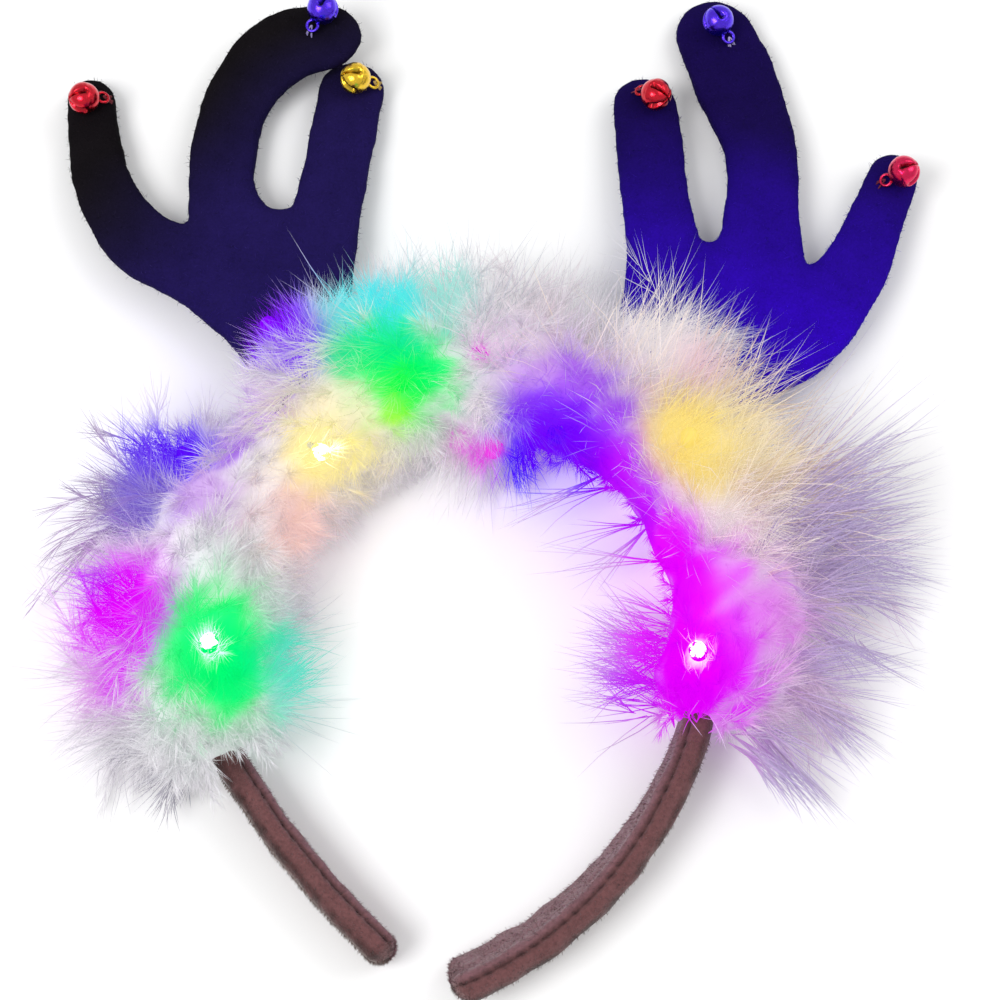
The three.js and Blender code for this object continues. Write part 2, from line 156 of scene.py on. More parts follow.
@dataclass
class Surface:
    """A closed surface in design millimetres, with named colours kept per point."""

    points: Array
    faces: list[Array]
    colours: dict[str, Array] = field(default_factory=dict)

    def triangles(self) -> int:
        """How many triangles the faces come to."""
        return sum(len(group) * (group.shape[1] - 2) for group in self.faces)

    def volume(self) -> float:
        """Signed volume: the sum of the tetrahedra between the origin and each fan triangle.

        Returns:
            The volume in cubic millimetres, below zero where the faces point inwards.
        """
        total = 0.0
        for group in self.faces:
            for corner in range(1, group.shape[1] - 1):
                a, b, c = (self.points[group[:, k]] for k in (0, corner, corner + 1))
                total += float(np.einsum("ij,ij->", a, np.cross(b, c)))
        return total / 6.0

    def facing_out(self) -> "Surface":
        """The same surface with its faces turned outwards.

        Returns:
            The surface itself.
        """
        if self.volume() < 0.0:
            self.faces = [group[:, ::-1] for group in self.faces]
        return self


def joined(surfaces: Sequence[Surface]) -> Surface:
    """One surface of several that share the same colour names.

    Args:
        surfaces: The surfaces, in order.

    Returns:
        A new surface with all their points, faces and colours.
    """
    starts = np.cumsum([0] + [len(surface.points) for surface in surfaces])
    faces = [group + start for surface, start in zip(surfaces, starts) for group in surface.faces]
    names = surfaces[0].colours.keys()
    colours = {name: np.concatenate([surface.colours[name] for surface in surfaces]) for name in names}
    return Surface(np.concatenate([surface.points for surface in surfaces]), faces, colours)


def wall(rows: int, sides: int) -> Array:
    """Quads between closed rings of points that follow one another, as (count, 4).

    Args:
        rows: How many rings there are.
        sides: How many points a ring has.

    Returns:
        Point numbers of the quads, ring by ring.
    """
    here = np.arange(sides)
    onward = (here + 1) % sides
    row = np.arange(rows - 1)[:, None] * sides
    corners = [row + here, row + onward, row + sides + onward, row + sides + here]
    return np.stack(corners, -1).reshape(-1, 4)


def with_ends(rings: Array) -> Array:
    """Values at the points of all rings, then the means of the first and the last ring."""
    return np.concatenate([rings.reshape(-1, 3), rings[:1].mean(1), rings[-1:].mean(1)])


def capped_tube(rings: Array) -> Surface:
    """Skin over closed rings, with a fan of triangles to the middle of the first and last ring.

    Args:
        rings: Points of shape (rows, sides, 3).

    Returns:
        The closed surface, facing outwards.
    """
    rows, sides = rings.shape[:2]
    here = np.arange(sides)
    onward = (here + 1) % sides
    last = (rows - 1) * sides
    first_fan = np.stack([np.full(sides, rows * sides), onward, here], 1)
    last_fan = np.stack([np.full(sides, rows * sides + 1), last + here, last + onward], 1)
    faces = [wall(rows, sides), np.concatenate([first_fan, last_fan])]
    return Surface(with_ends(rings), faces).facing_out()


def ring_surface(rings: Array) -> Surface:
    """Skin over rings that close on themselves both ways, as on a torus.

    Args:
        rings: Points of shape (rows, sides, 3).

    Returns:
        The closed surface, facing outwards.
    """
    rows, sides = rings.shape[:2]
    row, here = np.meshgrid(np.arange(rows), np.arange(sides), indexing="ij")
    below, onward = (row + 1) % rows, (here + 1) % sides
    corners = [row * sides + here, row * sides + onward, below * sides + onward, below * sides + here]
    return Surface(rings.reshape(-1, 3), [np.stack(corners, -1).reshape(-1, 4)]).facing_out()


def rod(path: Array, radius: float, sides: int) -> Surface:
    """Round tube along a path, with each ring square to the path.

    Args:
        path: Points of shape (rows, 3).
        radius: Radius of the tube.
        sides: Points round the tube.

    Returns:
        The closed surface.
    """
    along = unit(np.gradient(path, axis=0))
    side = unit(np.cross(along, UP + OFF_AXIS))
    return capped_tube(path[:, None] + spokes(side, np.cross(along, side), circle(sides)) * radius)


def bezier(start: Array, bend: Array, end: Array, share: Array) -> Array:
    """Quadratic curves: start, bend and end blended by the squares of share, as (curves, shares, 3)."""
    s = share[..., None]
    return start[:, None] * (1 - s) ** 2 + bend[:, None] * 2 * s * (1 - s) + end[:, None] * s**2


def strand_corners(shares: Sequence[float]) -> int:
    """How many points a strand with these rings has."""
    return len(shares) * STRAND_SIDES + 1


def strands(start: Array, bend: Array, end: Array, radius: Array, shares: Sequence[float],
            seed: int) -> Surface:
    """Fine three-sided strands, each tapered to a point along its own quadratic curve.

    Every ring is a triangle square to the strand's chord, and its radius shrinks with the square
    root of what is left of the strand.

    Args:
        start: Root of each strand, (count, 3).
        bend: Middle control point of each strand.
        end: Tip of each strand.
        radius: Radius of each strand at its root.
        shares: Places of the rings along a strand, from 0.
        seed: Seed of the turn of each triangle.

    Returns:
        The closed strands as one surface, with the colour "along" running from 0 to 1.
    """
    count, rows, sides = len(start), len(shares), STRAND_SIDES
    corners = strand_corners(shares)
    share = np.append(np.asarray(shares, float), 1.0)
    spine = bezier(start, bend, end, np.broadcast_to(share, (count, rows + 1)))
    chord = unit(end - start)
    side = unit(np.cross(chord, np.random.default_rng(seed).normal(size=(count, 3))))
    spoke = spokes(side, np.cross(chord, side), circle(sides))
    girth = radius[:, None] * np.sqrt(1.0 - share[:-1])
    rings = spine[:, :-1, None] + spoke[:, None] * girth[:, :, None, None]
    points = np.concatenate([rings.reshape(count, -1, 3), spine[:, -1:]], 1)
    here = np.arange(sides)
    last = (rows - 1) * sides
    tip = np.stack([last + here, last + (here + 1) % sides, np.full(sides, rows * sides)], 1)
    base = np.array([[0, 2, 1]])
    offset = (np.arange(count) * corners)[:, None, None]
    walls = (wall(rows, sides)[None] + offset).reshape(-1, 4)
    ends = (np.concatenate([base, tip])[None] + offset).reshape(-1, 3)
    along = np.broadcast_to(np.append(np.repeat(share[:-1], sides), 1.0), (count, corners))
    return Surface(points.reshape(-1, 3), [walls, ends], {"along": along.reshape(-1)})


@dataclass(frozen=True)
class Grain:
    """Noise in a material: its waves to the metre and how many finer layers it has."""

    scale: float
    detail: float


class Signal:
    """A shader value whose arithmetic adds Math nodes to its material."""

    def __init__(self, bench: "NodeBench", socket: bpy.types.NodeSocket) -> None:
        """Keeps the node tree and the socket that carries the value."""
        self.bench = bench
        self.socket = socket

    def _math(self, operation: str, first: Any, second: Any) -> "Signal":
        """The result of one Math node."""
        node = self.bench.node("ShaderNodeMath", {"operation": operation}, {0: first, 1: second})
        return Signal(self.bench, node.outputs[0])

    def __add__(self, other: Any) -> "Signal":
        """self + other."""
        return self._math("ADD", self, other)

    def __radd__(self, other: Any) -> "Signal":
        """other + self."""
        return self._math("ADD", other, self)

    def __sub__(self, other: Any) -> "Signal":
        """self - other."""
        return self._math("SUBTRACT", self, other)

    def __rsub__(self, other: Any) -> "Signal":
        """other - self."""
        return self._math("SUBTRACT", other, self)

    def __mul__(self, other: Any) -> "Signal":
        """self * other."""
        return self._math("MULTIPLY", self, other)

    def __rmul__(self, other: Any) -> "Signal":
        """other * self."""
        return self._math("MULTIPLY", other, self)


class NodeBench:
    """The node tree of one material."""

    def __init__(self, name: str) -> None:
        """Starts an empty tree.

        Args:
            name: The material's name.
        """
        self.material = bpy.data.materials.new(name)
        self.material.use_nodes = True
        self.tree = self.material.node_tree
        self.tree.nodes.clear()

    def node(self, kind: str, settings: dict[str, Any],
             sockets: dict[Union[str, int], Any]) -> bpy.types.Node:
        """Adds a node.

        Args:
            kind: The node's type.
            settings: Its properties, set first.
            sockets: Values or links of its inputs, by name or number.

        Returns:
            The new node.
        """
        node = self.tree.nodes.new(kind)
        for key, value in settings.items():
            setattr(node, key, value)
        for key, value in sockets.items():
            value = value.socket if isinstance(value, Signal) else value
            if isinstance(value, bpy.types.NodeSocket):
                self.tree.links.new(value, node.inputs[key])
            elif isinstance(value, np.ndarray):
                node.inputs[key].default_value = (*value.tolist(), 1.0)
            else:
                node.inputs[key].default_value = value
        return node

    def place(self) -> bpy.types.NodeSocket:
        """The Object coordinates."""
        return self.node("ShaderNodeTexCoord", {}, {}).outputs["Object"]

    def noise(self, grain: Grain) -> Signal:
        """Noise of 0 to 1 on Object coordinates."""
        sockets = {"Vector": self.place(), "Scale": grain.scale, "Detail": grain.detail, "Roughness": 0.6}
        return Signal(self, self.node("ShaderNodeTexNoise", {}, sockets).outputs["Fac"])

    def distance(self, place: Array) -> Signal:
        """Distance of the Object coordinates from a place, in metres.

        Args:
            place: The place in the row frame, in metres.

        Returns:
            The distance.
        """
        sockets = {0: self.place(), 1: tuple(place.tolist())}
        node = self.node("ShaderNodeVectorMath", {"operation": "DISTANCE"}, sockets)
        return Signal(self, node.outputs["Value"])

    def attribute(self, name: str) -> bpy.types.NodeSocket:
        """A colour kept on the piece's own points."""
        return self.node("ShaderNodeAttribute", {"attribute_name": name}, {}).outputs["Color"]

    def blend(self, mode: str, factor: Any, first: Any, second: Any) -> bpy.types.NodeSocket:
        """Two colours blended by a Mix node."""
        settings = {"data_type": "RGBA", "blend_type": mode}
        return self.node("ShaderNodeMix", settings, {0: factor, 6: first, 7: second}).outputs[2]

    def ramp(self, factor: Any, low: Array, high: Array) -> bpy.types.NodeSocket:
        """A colour between two, by a value of 0 to 1."""
        return self.blend("MIX", factor, low, high)

    def mottled(self, colour: Any, factor: Any, tones: Span) -> bpy.types.NodeSocket:
        """A colour times a grey between two tones, by a value of 0 to 1."""
        low, high = (np.full(3, tone) for tone in tones)
        return self.blend("MULTIPLY", 1.0, colour, self.ramp(factor, low, high))

    def bump(self, height: Signal, strength: float, distance: float) -> bpy.types.NodeSocket:
        """A normal tilted by a height of 0 to 1, which stands for distance in metres."""
        sockets = {"Strength": strength, "Distance": distance, "Height": height}
        return self.node("ShaderNodeBump", {}, sockets).outputs["Normal"]

    def surface(self, sockets: dict[str, Any]) -> bpy.types.Material:
        """Ends the tree in a Principled shader with these inputs.

        Args:
            sockets: Values or links of the shader's inputs, by name.

        Returns:
            The finished material.
        """
        shader = self.node("ShaderNodeBsdfPrincipled", {}, sockets)
        self.node("ShaderNodeOutputMaterial", {}, {"Surface": shader.outputs[0]})
        return self.material


class Finish:
    """A way to finish a surface."""

    def make(self) -> bpy.types.Material:
        """Makes the material."""
        raise NotImplementedError


@dataclass(frozen=True)
class DownFinish(Finish):
    """White down, tinted and lit by the lamps through the piece's own colours."""

    name: str
    relief: float
    strength: float = 0.9
    lumps: Grain = Grain(420.0, 6.0)
    mottle: Grain = Grain(900.0, 3.0)
    tones: Span = (0.86, 1.0)

    def make(self) -> bpy.types.Material:
        """Makes the material: soft and matt, glowing with the piece's painted glow colour, faintly
        everywhere and more where a lamp shines through.

        Returns:
            The material.
        """
        bench = NodeBench(self.name)
        sockets = {
            "Base Color": bench.mottled(bench.attribute("tint"), bench.noise(self.mottle), self.tones),
            "Roughness": 0.8,
            "Specular IOR Level": 0.0,
            "Emission Color": bench.attribute("glow"),
            "Emission Strength": 1.0,
        }
        if self.relief > 0.0:
            sockets["Normal"] = bench.bump(bench.noise(self.lumps), self.strength, self.relief)
        material = bench.surface(sockets)
        material.cycles.emission_sampling = "NONE"
        return material


@dataclass(frozen=True)
class NapFinish(Finish):
    """Matt cloth with a nap: the piece's own tint, mottled by fibres and in patches."""

    name: str
    fibre: Grain
    patch: Grain
    fibre_share: float
    tones: Span
    roughness: float
    specular: float
    sheen: float
    strength: float
    relief: float

    def make(self) -> bpy.types.Material:
        """Makes the material, with relief as fine as its fibres.

        Returns:
            The material.
        """
        bench = NodeBench(self.name)
        fibre = bench.noise(self.fibre)
        mottle = fibre * self.fibre_share + bench.noise(self.patch) * (1.0 - self.fibre_share)
        return bench.surface({
            "Base Color": bench.mottled(bench.attribute("tint"), mottle, self.tones),
            "Roughness": self.roughness,
            "Specular IOR Level": self.specular,
            "Sheen Weight": self.sheen,
            "Normal": bench.bump(fibre, self.strength, self.relief),
        })


BROWN_PLUSH = NapFinish(
    "brown_plush", fibre=Grain(1300.0, 5.0), patch=Grain(300.0, 3.0), fibre_share=0.65, tones=(0.25, 1.75),
    roughness=0.92, specular=0.2, sheen=0.25, strength=0.8, relief=0.0005)
DARK_FELT = NapFinish(
    "dark_felt", fibre=Grain(1700.0, 6.0), patch=Grain(120.0, 3.0), fibre_share=0.6, tones=(0.3, 1.75),
    roughness=0.97, specular=0.04, sheen=0.0, strength=0.7, relief=0.0004)


@dataclass(frozen=True)
class BellFinish(Finish):
    """Pressed metal with a bright tinted lacquer, with painted shade in its slits from the piece's tint."""

    name: str
    colour: Colour
    scuffs: Grain = Grain(1500.0, 4.0)
    tones: Span = (0.75, 1.15)
    roughness: float = 0.12
    scuff_roughness: float = 0.25
    dents: Grain = Grain(700.0, 2.0)
    strength: float = 0.35
    relief: float = 0.0004

    def make(self) -> bpy.types.Material:
        """Makes the material, with scuffs in the lacquer.

        Returns:
            The material.
        """
        bench = NodeBench(self.name)
        scuff = bench.noise(self.scuffs)
        tint = bench.blend("MULTIPLY", 1.0, linear(*self.colour), bench.attribute("tint"))
        return bench.surface({
            "Base Color": bench.mottled(tint, scuff, self.tones),
            "Metallic": 1.0,
            "Roughness": scuff * self.scuff_roughness + self.roughness,
            "Coat Weight": 0.4,
            "Coat Roughness": 0.1,
            "Normal": bench.bump(bench.noise(self.dents), self.strength, self.relief),
        })


@dataclass(frozen=True)
class BulbFinish(Finish):
    """A lit lamp: clear coloured plastic, white hot in a ragged patch where it is bare.

    The patch lies round the hot place, in metres in the row frame, and a covered lamp has none.
    """

    name: str
    colour: Colour
    hot: Optional[Array]
    patch: float = 0.0026
    heat: float = 2.2
    glow: float = 0.66
    dim: float = 0.85
    whiteness: float = 0.88
    streaks: Grain = Grain(600.0, 3.0)
    ragged: float = 3.4
    edge: float = 5.0
    shades: Span = (0.3, 0.45)

    def make(self) -> bpy.types.Material:
        """Makes the material; the patch ends where distance and noise together reach its size.

        Returns:
            The material.
        """
        bench = NodeBench(self.name)
        streak = bench.noise(self.streaks)
        light = linear(*self.colour)
        low, heart, warmth = light * self.dim, light, streak
        if self.hot is not None:
            low, heart = light * self.glow / self.heat, light * (1.0 - self.whiteness) + self.whiteness
            near = 1.0 - bench.distance(self.hot) * (1.0 / self.patch)
            warmth = (near - (streak - 0.5) * self.ragged) * self.edge
        material = bench.surface({
            "Base Color": bench.ramp(streak, *(light * shade for shade in self.shades)),
            "Roughness": 0.7,
            "Specular IOR Level": 0.0,
            "Emission Color": bench.ramp(warmth, low, heart),
            "Emission Strength": self.glow if self.hot is None else self.heat,
        })
        material.cycles.emission_sampling = "NONE"
        return material


@dataclass(frozen=True)
class ThreadFinish(Finish):
    """Twisted sewing thread or thin insulated wire."""

    name: str
    colour: Colour
    roughness: float
    twist: Grain = Grain(3000.0, 2.0)
    shades: Span = (0.6, 1.25)
    strength: float = 0.4
    relief: float = 0.0002

    def make(self) -> bpy.types.Material:
        """Makes the material, with a fine twist of light and dark.

        Returns:
            The material.
        """
        bench = NodeBench(self.name)
        twist = bench.noise(self.twist)
        dark, pale = (np.minimum(linear(*self.colour) * shade, 1.0) for shade in self.shades)
        return bench.surface({
            "Base Color": bench.ramp(twist, dark, pale),
            "Roughness": self.roughness,
            "Normal": bench.bump(twist, self.strength, self.relief),
        })


@dataclass(frozen=True)
class FloorFinish(Finish):
    """Pale seamless paper."""

    name: str
    shade: float
    tooth: Grain = Grain(1200.0, 3.0)
    darkest: float = 0.985

    def make(self) -> bpy.types.Material:
        """Makes the material, with a barely visible tooth.

        Returns:
            The material.
        """
        bench = NodeBench(self.name)
        low, high = np.full(3, self.shade * self.darkest), np.full(3, self.shade)
        return bench.surface({
            "Base Color": bench.ramp(bench.noise(self.tooth), low, high),
            "Roughness": 0.9,
            "Specular IOR Level": 0.1,
        })


@dataclass
class Workshop:
    shift: Array

    def make(self, name: str, surface: Surface, finish: bpy.types.Material,
             slot: Optional[Slot]) -> bpy.types.Object:
        """Puts a surface into the scene as a piece that moves with the headband.

        Args:
            name: The piece's name.
            surface: Its surface in design millimetres.
            finish: Its material.
            slot: The record's slot for the piece; not used.

        Returns:
            The new object, at the origin.
        """
        mesh = bpy.data.meshes.new(name)
        mesh.vertices.add(len(surface.points))
        mesh.vertices.foreach_set("co", (surface.points * MM + self.shift).astype(np.float32).ravel())
        corners = np.concatenate([group.ravel() for group in surface.faces]).astype(np.int32)
        sizes = np.concatenate([np.full(len(group), group.shape[1]) for group in surface.faces])
        starts = np.append(0, np.cumsum(sizes)[:-1]).astype(np.int32)
        mesh.loops.add(len(corners))
        mesh.loops.foreach_set("vertex_index", corners)
        mesh.polygons.add(len(sizes))
        mesh.polygons.foreach_set("loop_start", starts)
        mesh.polygons.foreach_set("use_smooth", np.ones(len(sizes), bool))
        mesh.update(calc_edges=True)
        mesh.validate()
        for key in ("tint", "glow"):
            if key in surface.colours:
                layer = mesh.color_attributes.new(key, "FLOAT_COLOR", "POINT")
                colour = np.concatenate([surface.colours[key], np.ones((len(surface.points), 1))], 1)
                layer.data.foreach_set("color", colour.astype(np.float32).ravel())
        mesh.materials.append(finish)
        piece = bpy.data.objects.new(name, mesh)
        bpy.context.scene.collection.objects.link(piece)
        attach(piece, BODY)
        LOG.info("%s: %d triangles", name, surface.triangles())
        return piece


@dataclass(frozen=True)
class Leg:
    """One leg of the hoop: where it leaves the crown, its own arc and how far its end leans."""

    crown_angle: float
    radius: float
    length: float
    lean: float


@dataclass(frozen=True)
class HoopPlaces:
    """Places along the hoop with the directions of the band there."""

    middle: Array
    outward: Array
    onward: Array
    across: Array
    along: Array


@dataclass(frozen=True)
class Hoop:
    """The band's centre line: a round crown and two straighter legs, all tangent arcs."""

    radius: float = 64.0
    centre: tuple[float, float] = (0.0, -36.0)
    left: Leg = Leg(crown_angle=126.0, radius=210.0, length=61.0, lean=2.0)
    right: Leg = Leg(crown_angle=97.0, radius=100.0, length=102.0, lean=34.0)
    lean_lead: float = 0.25
    width: float = 15.0
    thickness: float = 7.5
    lift: float = 5.0

    def crown_length(self, leg: Leg) -> float:
        """Length of the crown on a leg's side."""
        return float(np.radians(leg.crown_angle) * self.radius)

    def half_length(self, leg: Leg) -> float:
        """Length from the top to a leg's end."""
        return self.crown_length(leg) + leg.length

    def distance_at(self, angle: Array) -> Array:
        """Distance along the hoop from its top, for degrees round the crown's centre from +X."""
        return np.radians(90.0 - np.asarray(angle, float)) * self.radius

    def flat(self, distance: Array, leg: Leg) -> tuple[Array, Array]:
        """Centre line and outward direction on one leg's side, before the height is added.

        Args:
            distance: Signed distances from the top, positive to the right.
            leg: The leg on that side.

        Returns:
            Points and unit vectors in the plane of the hoop, with z = 0.
        """
        side = np.sign(distance)
        on_crown = np.minimum(np.abs(distance), self.crown_length(leg))
        crown_turn = on_crown / self.radius
        turn = crown_turn + (np.abs(distance) - on_crown) / leg.radius

        def normal(angle: Array) -> Array:
            """Unit vector at an angle from the top, towards the side."""
            return np.stack([side * np.sin(angle), np.cos(angle), np.zeros_like(angle)], -1)

        middle = np.array((*self.centre, 0.0)) + normal(crown_turn) * (self.radius - leg.radius)
        return middle + normal(turn) * leg.radius, normal(turn)

    def lean_at(self, distance: Array, leg: Leg) -> Array:
        """Outward lean of the band's upper edge, eased in over the leg and a little before it."""
        start = self.crown_length(leg) - leg.length * self.lean_lead
        return np.radians(leg.lean) * smoothstep(np.abs(distance), start, self.half_length(leg))

    def places(self, distance: Array) -> HoopPlaces:
        """Places of the band's middle with its directions.

        Args:
            distance: Signed distances from the top, positive to the right.

        Returns:
            The places, each direction a unit vector: across points out of the band's outer face
            and along points out of its upper edge.
        """
        distance = np.asarray(distance, float)
        right = distance >= 0.0
        pick = right[:, None]
        left_mid, left_out = self.flat(distance, self.left)
        right_mid, right_out = self.flat(distance, self.right)
        middle = np.where(pick, right_mid, left_mid)
        outward = np.where(pick, right_out, left_out)
        lean = np.where(right, self.lean_at(distance, self.right), self.lean_at(distance, self.left))
        tip_y = self.flat(np.array([self.half_length(self.right)]), self.right)[0][0, 1]
        top_y = self.centre[1] + self.radius
        low = self.width / 2.0 * np.cos(lean) + self.thickness / 2.0 * np.sin(lean)
        middle = middle + UP * (low + self.lift * (middle[:, 1] - tip_y) / (top_y - tip_y))[:, None]
        cos, sin = np.cos(lean)[:, None], np.sin(lean)[:, None]
        onward = np.stack([outward[:, 1], -outward[:, 0], np.zeros(len(distance))], -1)
        return HoopPlaces(middle, outward, onward, outward * cos - UP * sin, UP * cos + outward * sin)


@dataclass(frozen=True)
class Nap:
    """Short fibres that stand on a cloth and bend over at their tips.

    A fibre's lie adds up the cloth's normal, the comb's direction and chance, weighted by stand,
    comb and scatter. Its tip adds comb, droop and chance to that by the tip weights. A lie rises
    by least_rise along the normal or more, and a root is set into the cloth by sink.
    """

    seed: int
    count: int
    length: float
    radius: float
    lengths: Span
    tones: Span
    scatter: float
    tip_scatter: float
    stand: float = 1.0
    comb: float = 0.0
    tip_comb: float = 0.0
    tip_droop: float = 0.0
    least_rise: float = -1.0
    sink: float = 0.0
    tone_floor: float = 0.0
    rings: Span = (0.0, 0.55)

    def fibres(self, rng: np.random.Generator, start: Array, normal: Array,
               comb: Array) -> tuple[Surface, Array]:
        """Makes the fibres, with none under the floor.

        Args:
            rng: Where chance comes from.
            start: Place of each fibre on the cloth, (count, 3).
            normal: The cloth's normal there.
            comb: The direction in which the nap is combed.

        Returns:
            The fibres as one surface, and their roots.
        """
        length = self.length * rng.uniform(*self.lengths, (self.count, 1))
        lay = unit(self.stand * normal + self.comb * comb + self.scatter * rng.normal(size=start.shape))
        lay = lay + normal * np.maximum(self.least_rise - (lay * normal).sum(1, keepdims=True), 0.0)
        bend = start + lay * length * 0.5
        chance = self.tip_scatter * rng.normal(size=start.shape)
        end = bend + unit(lay + self.tip_comb * comb - self.tip_droop * UP + chance) * length * 0.5
        root = start - normal * self.sink
        for place in (root, bend, end):
            place[:, 2] = np.maximum(place[:, 2], 2.0 * self.radius)
        return strands(root, bend, end, np.full(self.count, self.radius), self.rings, self.seed + 1), root

    def tinted(self, rng: np.random.Generator, fibres: Surface, tint: Array) -> Surface:
        """Gives each fibre the tint of its root, darker or lighter by chance.

        Args:
            rng: Where chance comes from.
            fibres: The fibres.
            tint: Linear colour of the cloth at each root.

        Returns:
            The same fibres with their tint.
        """
        tone = tint * rng.uniform(*self.tones, (self.count, 1)) + self.tone_floor
        fibres.colours["tint"] = np.repeat(tone, strand_corners(self.rings), 0)
        return fibres


@dataclass
class PlushBand:
    """The padded hoop: a plush tube with one seam along its inner upper edge.

    Painted-shade and edge spans are of the section's normal, across and along the band: over them the
    painted shade on its outer side and a greyer strip low on its outer face come in. The pale roll's
    span is of the distance from the seam.
    """

    hoop: Hoop
    corner: float = 3.0
    rows: int = 230
    end_rows: int = 8
    end_margin: float = 0.12
    sides: int = 60
    outline_steps: int = 721
    seam_at: float = 0.318
    seam_depth: float = 1.15
    seam_width: float = 0.75
    seam_dark: float = 0.82
    stitch_length: float = 3.1
    stitch_pull: float = 0.28
    roll_height: float = 0.34
    roll_offset: float = 2.4
    roll_width: float = 1.5
    lumps: tuple[Wave, ...] = (Wave(0.22, 11.0, 3), Wave(0.12, 4.5, 4))
    patches: Wave = Wave(0.6, 6.0, 5)
    patch_mean: float = 0.65
    roll_fade: Span = (0.1, 1.4)
    painted_shade_across: Span = (0.05, 0.6)
    shade_along: Span = (-0.5, 0.15)
    edge_across: Span = (0.8, 0.98)
    edge_along: Span = (-0.1, 0.55)
    bare_angles: Span = (213.0, -20.0)
    pile_colour: Colour = (104, 66, 67)
    roll_colour: Colour = (116, 80, 86)
    painted_shade_colour: Colour = (58, 33, 32)
    edge_colour: Colour = (100, 80, 74)
    nap: Nap = Nap(seed=11, count=7600, length=0.95, radius=0.075, lengths=(0.6, 1.25), tones=(0.55, 1.55),
                   scatter=0.45, tip_scatter=0.3, comb=0.55, tip_comb=0.5, tip_droop=0.3, sink=0.15)

    def section(self) -> tuple[Array, Array, Array]:
        """Rounded rectangle across the band, at even steps of its outline.

        Returns:
            Points (across, along), outward unit normals and the distance round the outline from
            the seam, in millimetres.
        """
        turn = np.linspace(0.0, FULL_TURN, self.outline_steps)
        flat = np.array((self.hoop.thickness, self.hoop.width)) / 2.0 - self.corner
        arc = np.stack([np.cos(turn), np.sin(turn)], -1)
        shape = np.sign(np.round(arc, 6)) * flat + self.corner * arc
        run = np.append(0.0, np.cumsum(np.linalg.norm(np.diff(shape, axis=0), axis=1)))
        even = np.linspace(0.0, run[-1], self.sides, endpoint=False)
        points = np.stack([np.interp(even, run, shape[:, k]) for k in (0, 1)], -1)
        normals = unit(np.stack([np.interp(even, run, arc[:, k]) for k in (0, 1)], -1))
        from_seam = even - self.seam_at * run[-1]
        from_seam = (from_seam + run[-1] / 2.0) % run[-1] - run[-1] / 2.0
        return points, normals, from_seam

    def seam(self, from_seam: Array, distance: Array) -> Array:
        """Depth of the seam: a groove that is pulled deeper at each stitch, between two rolls.

        Args:
            from_seam: Distance round the outline from the seam.
            distance: Distance along the hoop.

        Returns:
            Relief in millimetres, below zero in the groove.
        """
        stitch = np.cos(FULL_TURN * distance / self.stitch_length)
        pull = 1.0 - self.stitch_pull + self.stitch_pull * stitch
        rolls = self.roll_height * hump(np.abs(from_seam) - self.roll_offset, self.roll_width)
        return rolls - self.seam_depth * hump(from_seam, self.seam_width) * pull

    def marks(self) -> tuple[Array, Array]:
        """Distances of the rows and their share of the full section, rounded at both ends.

        Returns:
            The distances along the hoop, and the shares of 0 to 1.
        """
        inset = self.hoop.thickness / 2.0
        first = -self.hoop.half_length(self.hoop.left) + inset
        last = self.hoop.half_length(self.hoop.right) - inset
        turn = np.linspace(np.pi / 2.0 - self.end_margin, self.end_margin, self.end_rows)
        distance = np.concatenate([first - inset * np.sin(turn), np.linspace(first, last, self.rows),
                                   last + inset * np.sin(turn[::-1])])
        share = np.concatenate([np.cos(turn), np.ones(self.rows), np.cos(turn[::-1])])
        return distance, share

    def skin(self, distance: Array, share: Array) -> tuple[Array, Array, Array]:
        """The plush surface: the section carried along the hoop, with lumps and the seam.

        Args:
            distance: Distances of the rows.
            share: Share of the full section at each row.

        Returns:
            Points and normals of shape (rows, sides, 3) and the tint at each point.
        """
        shape, normal, from_seam = self.section()
        places = self.hoop.places(distance)
        across, along = places.across[:, None], places.along[:, None]
        face = across * normal[:, :1] + along * normal[:, 1:]
        spoke = across * shape[:, :1] + along * shape[:, 1:]
        points = places.middle[:, None] + spoke * share[:, None, None]
        relief = self.seam(from_seam[None], distance[:, None]) * share[:, None]
        lumps = sum(wave.at(points) for wave in self.lumps)
        points = points + face * (relief + lumps)[..., None]
        patches = self.patch_mean + self.patches.at(points)
        across, along = normal.T
        roll = smoothstep(from_seam, *self.roll_fade)
        # Painted shade: the band's outer side is darkened, in patches, by the section's normal.
        shade = smoothstep(across, *self.painted_shade_across) * smoothstep(along, *self.shade_along) * patches
        # A greyer strip over the lower part of the outer face.
        edge = smoothstep(across, *self.edge_across) * (1.0 - smoothstep(along, *self.edge_along))
        tint = np.broadcast_to(linear(*self.pile_colour), points.shape)
        layers = ((self.roll_colour, roll), (self.painted_shade_colour, shade), (self.edge_colour, edge))
        for colour, cover in layers:
            tint = tint + (linear(*colour) - tint) * np.clip(cover, 0.0, 1.0)[..., None]
        # Painted shade: the seam's groove is darkened by how deep it is.
        hole = np.clip(-relief / self.seam_depth, 0.0, 1.0)[..., None]
        return points, np.broadcast_to(face, points.shape), tint * (1.0 - self.seam_dark * hole)

    def body(self) -> Surface:
        """The band's closed skin.

        Returns:
            The surface with its tint.
        """
        distance, share = self.marks()
        points, _, tint = self.skin(distance, share)
        surface = capped_tube(points)
        surface.colours["tint"] = with_ends(tint)
        return surface

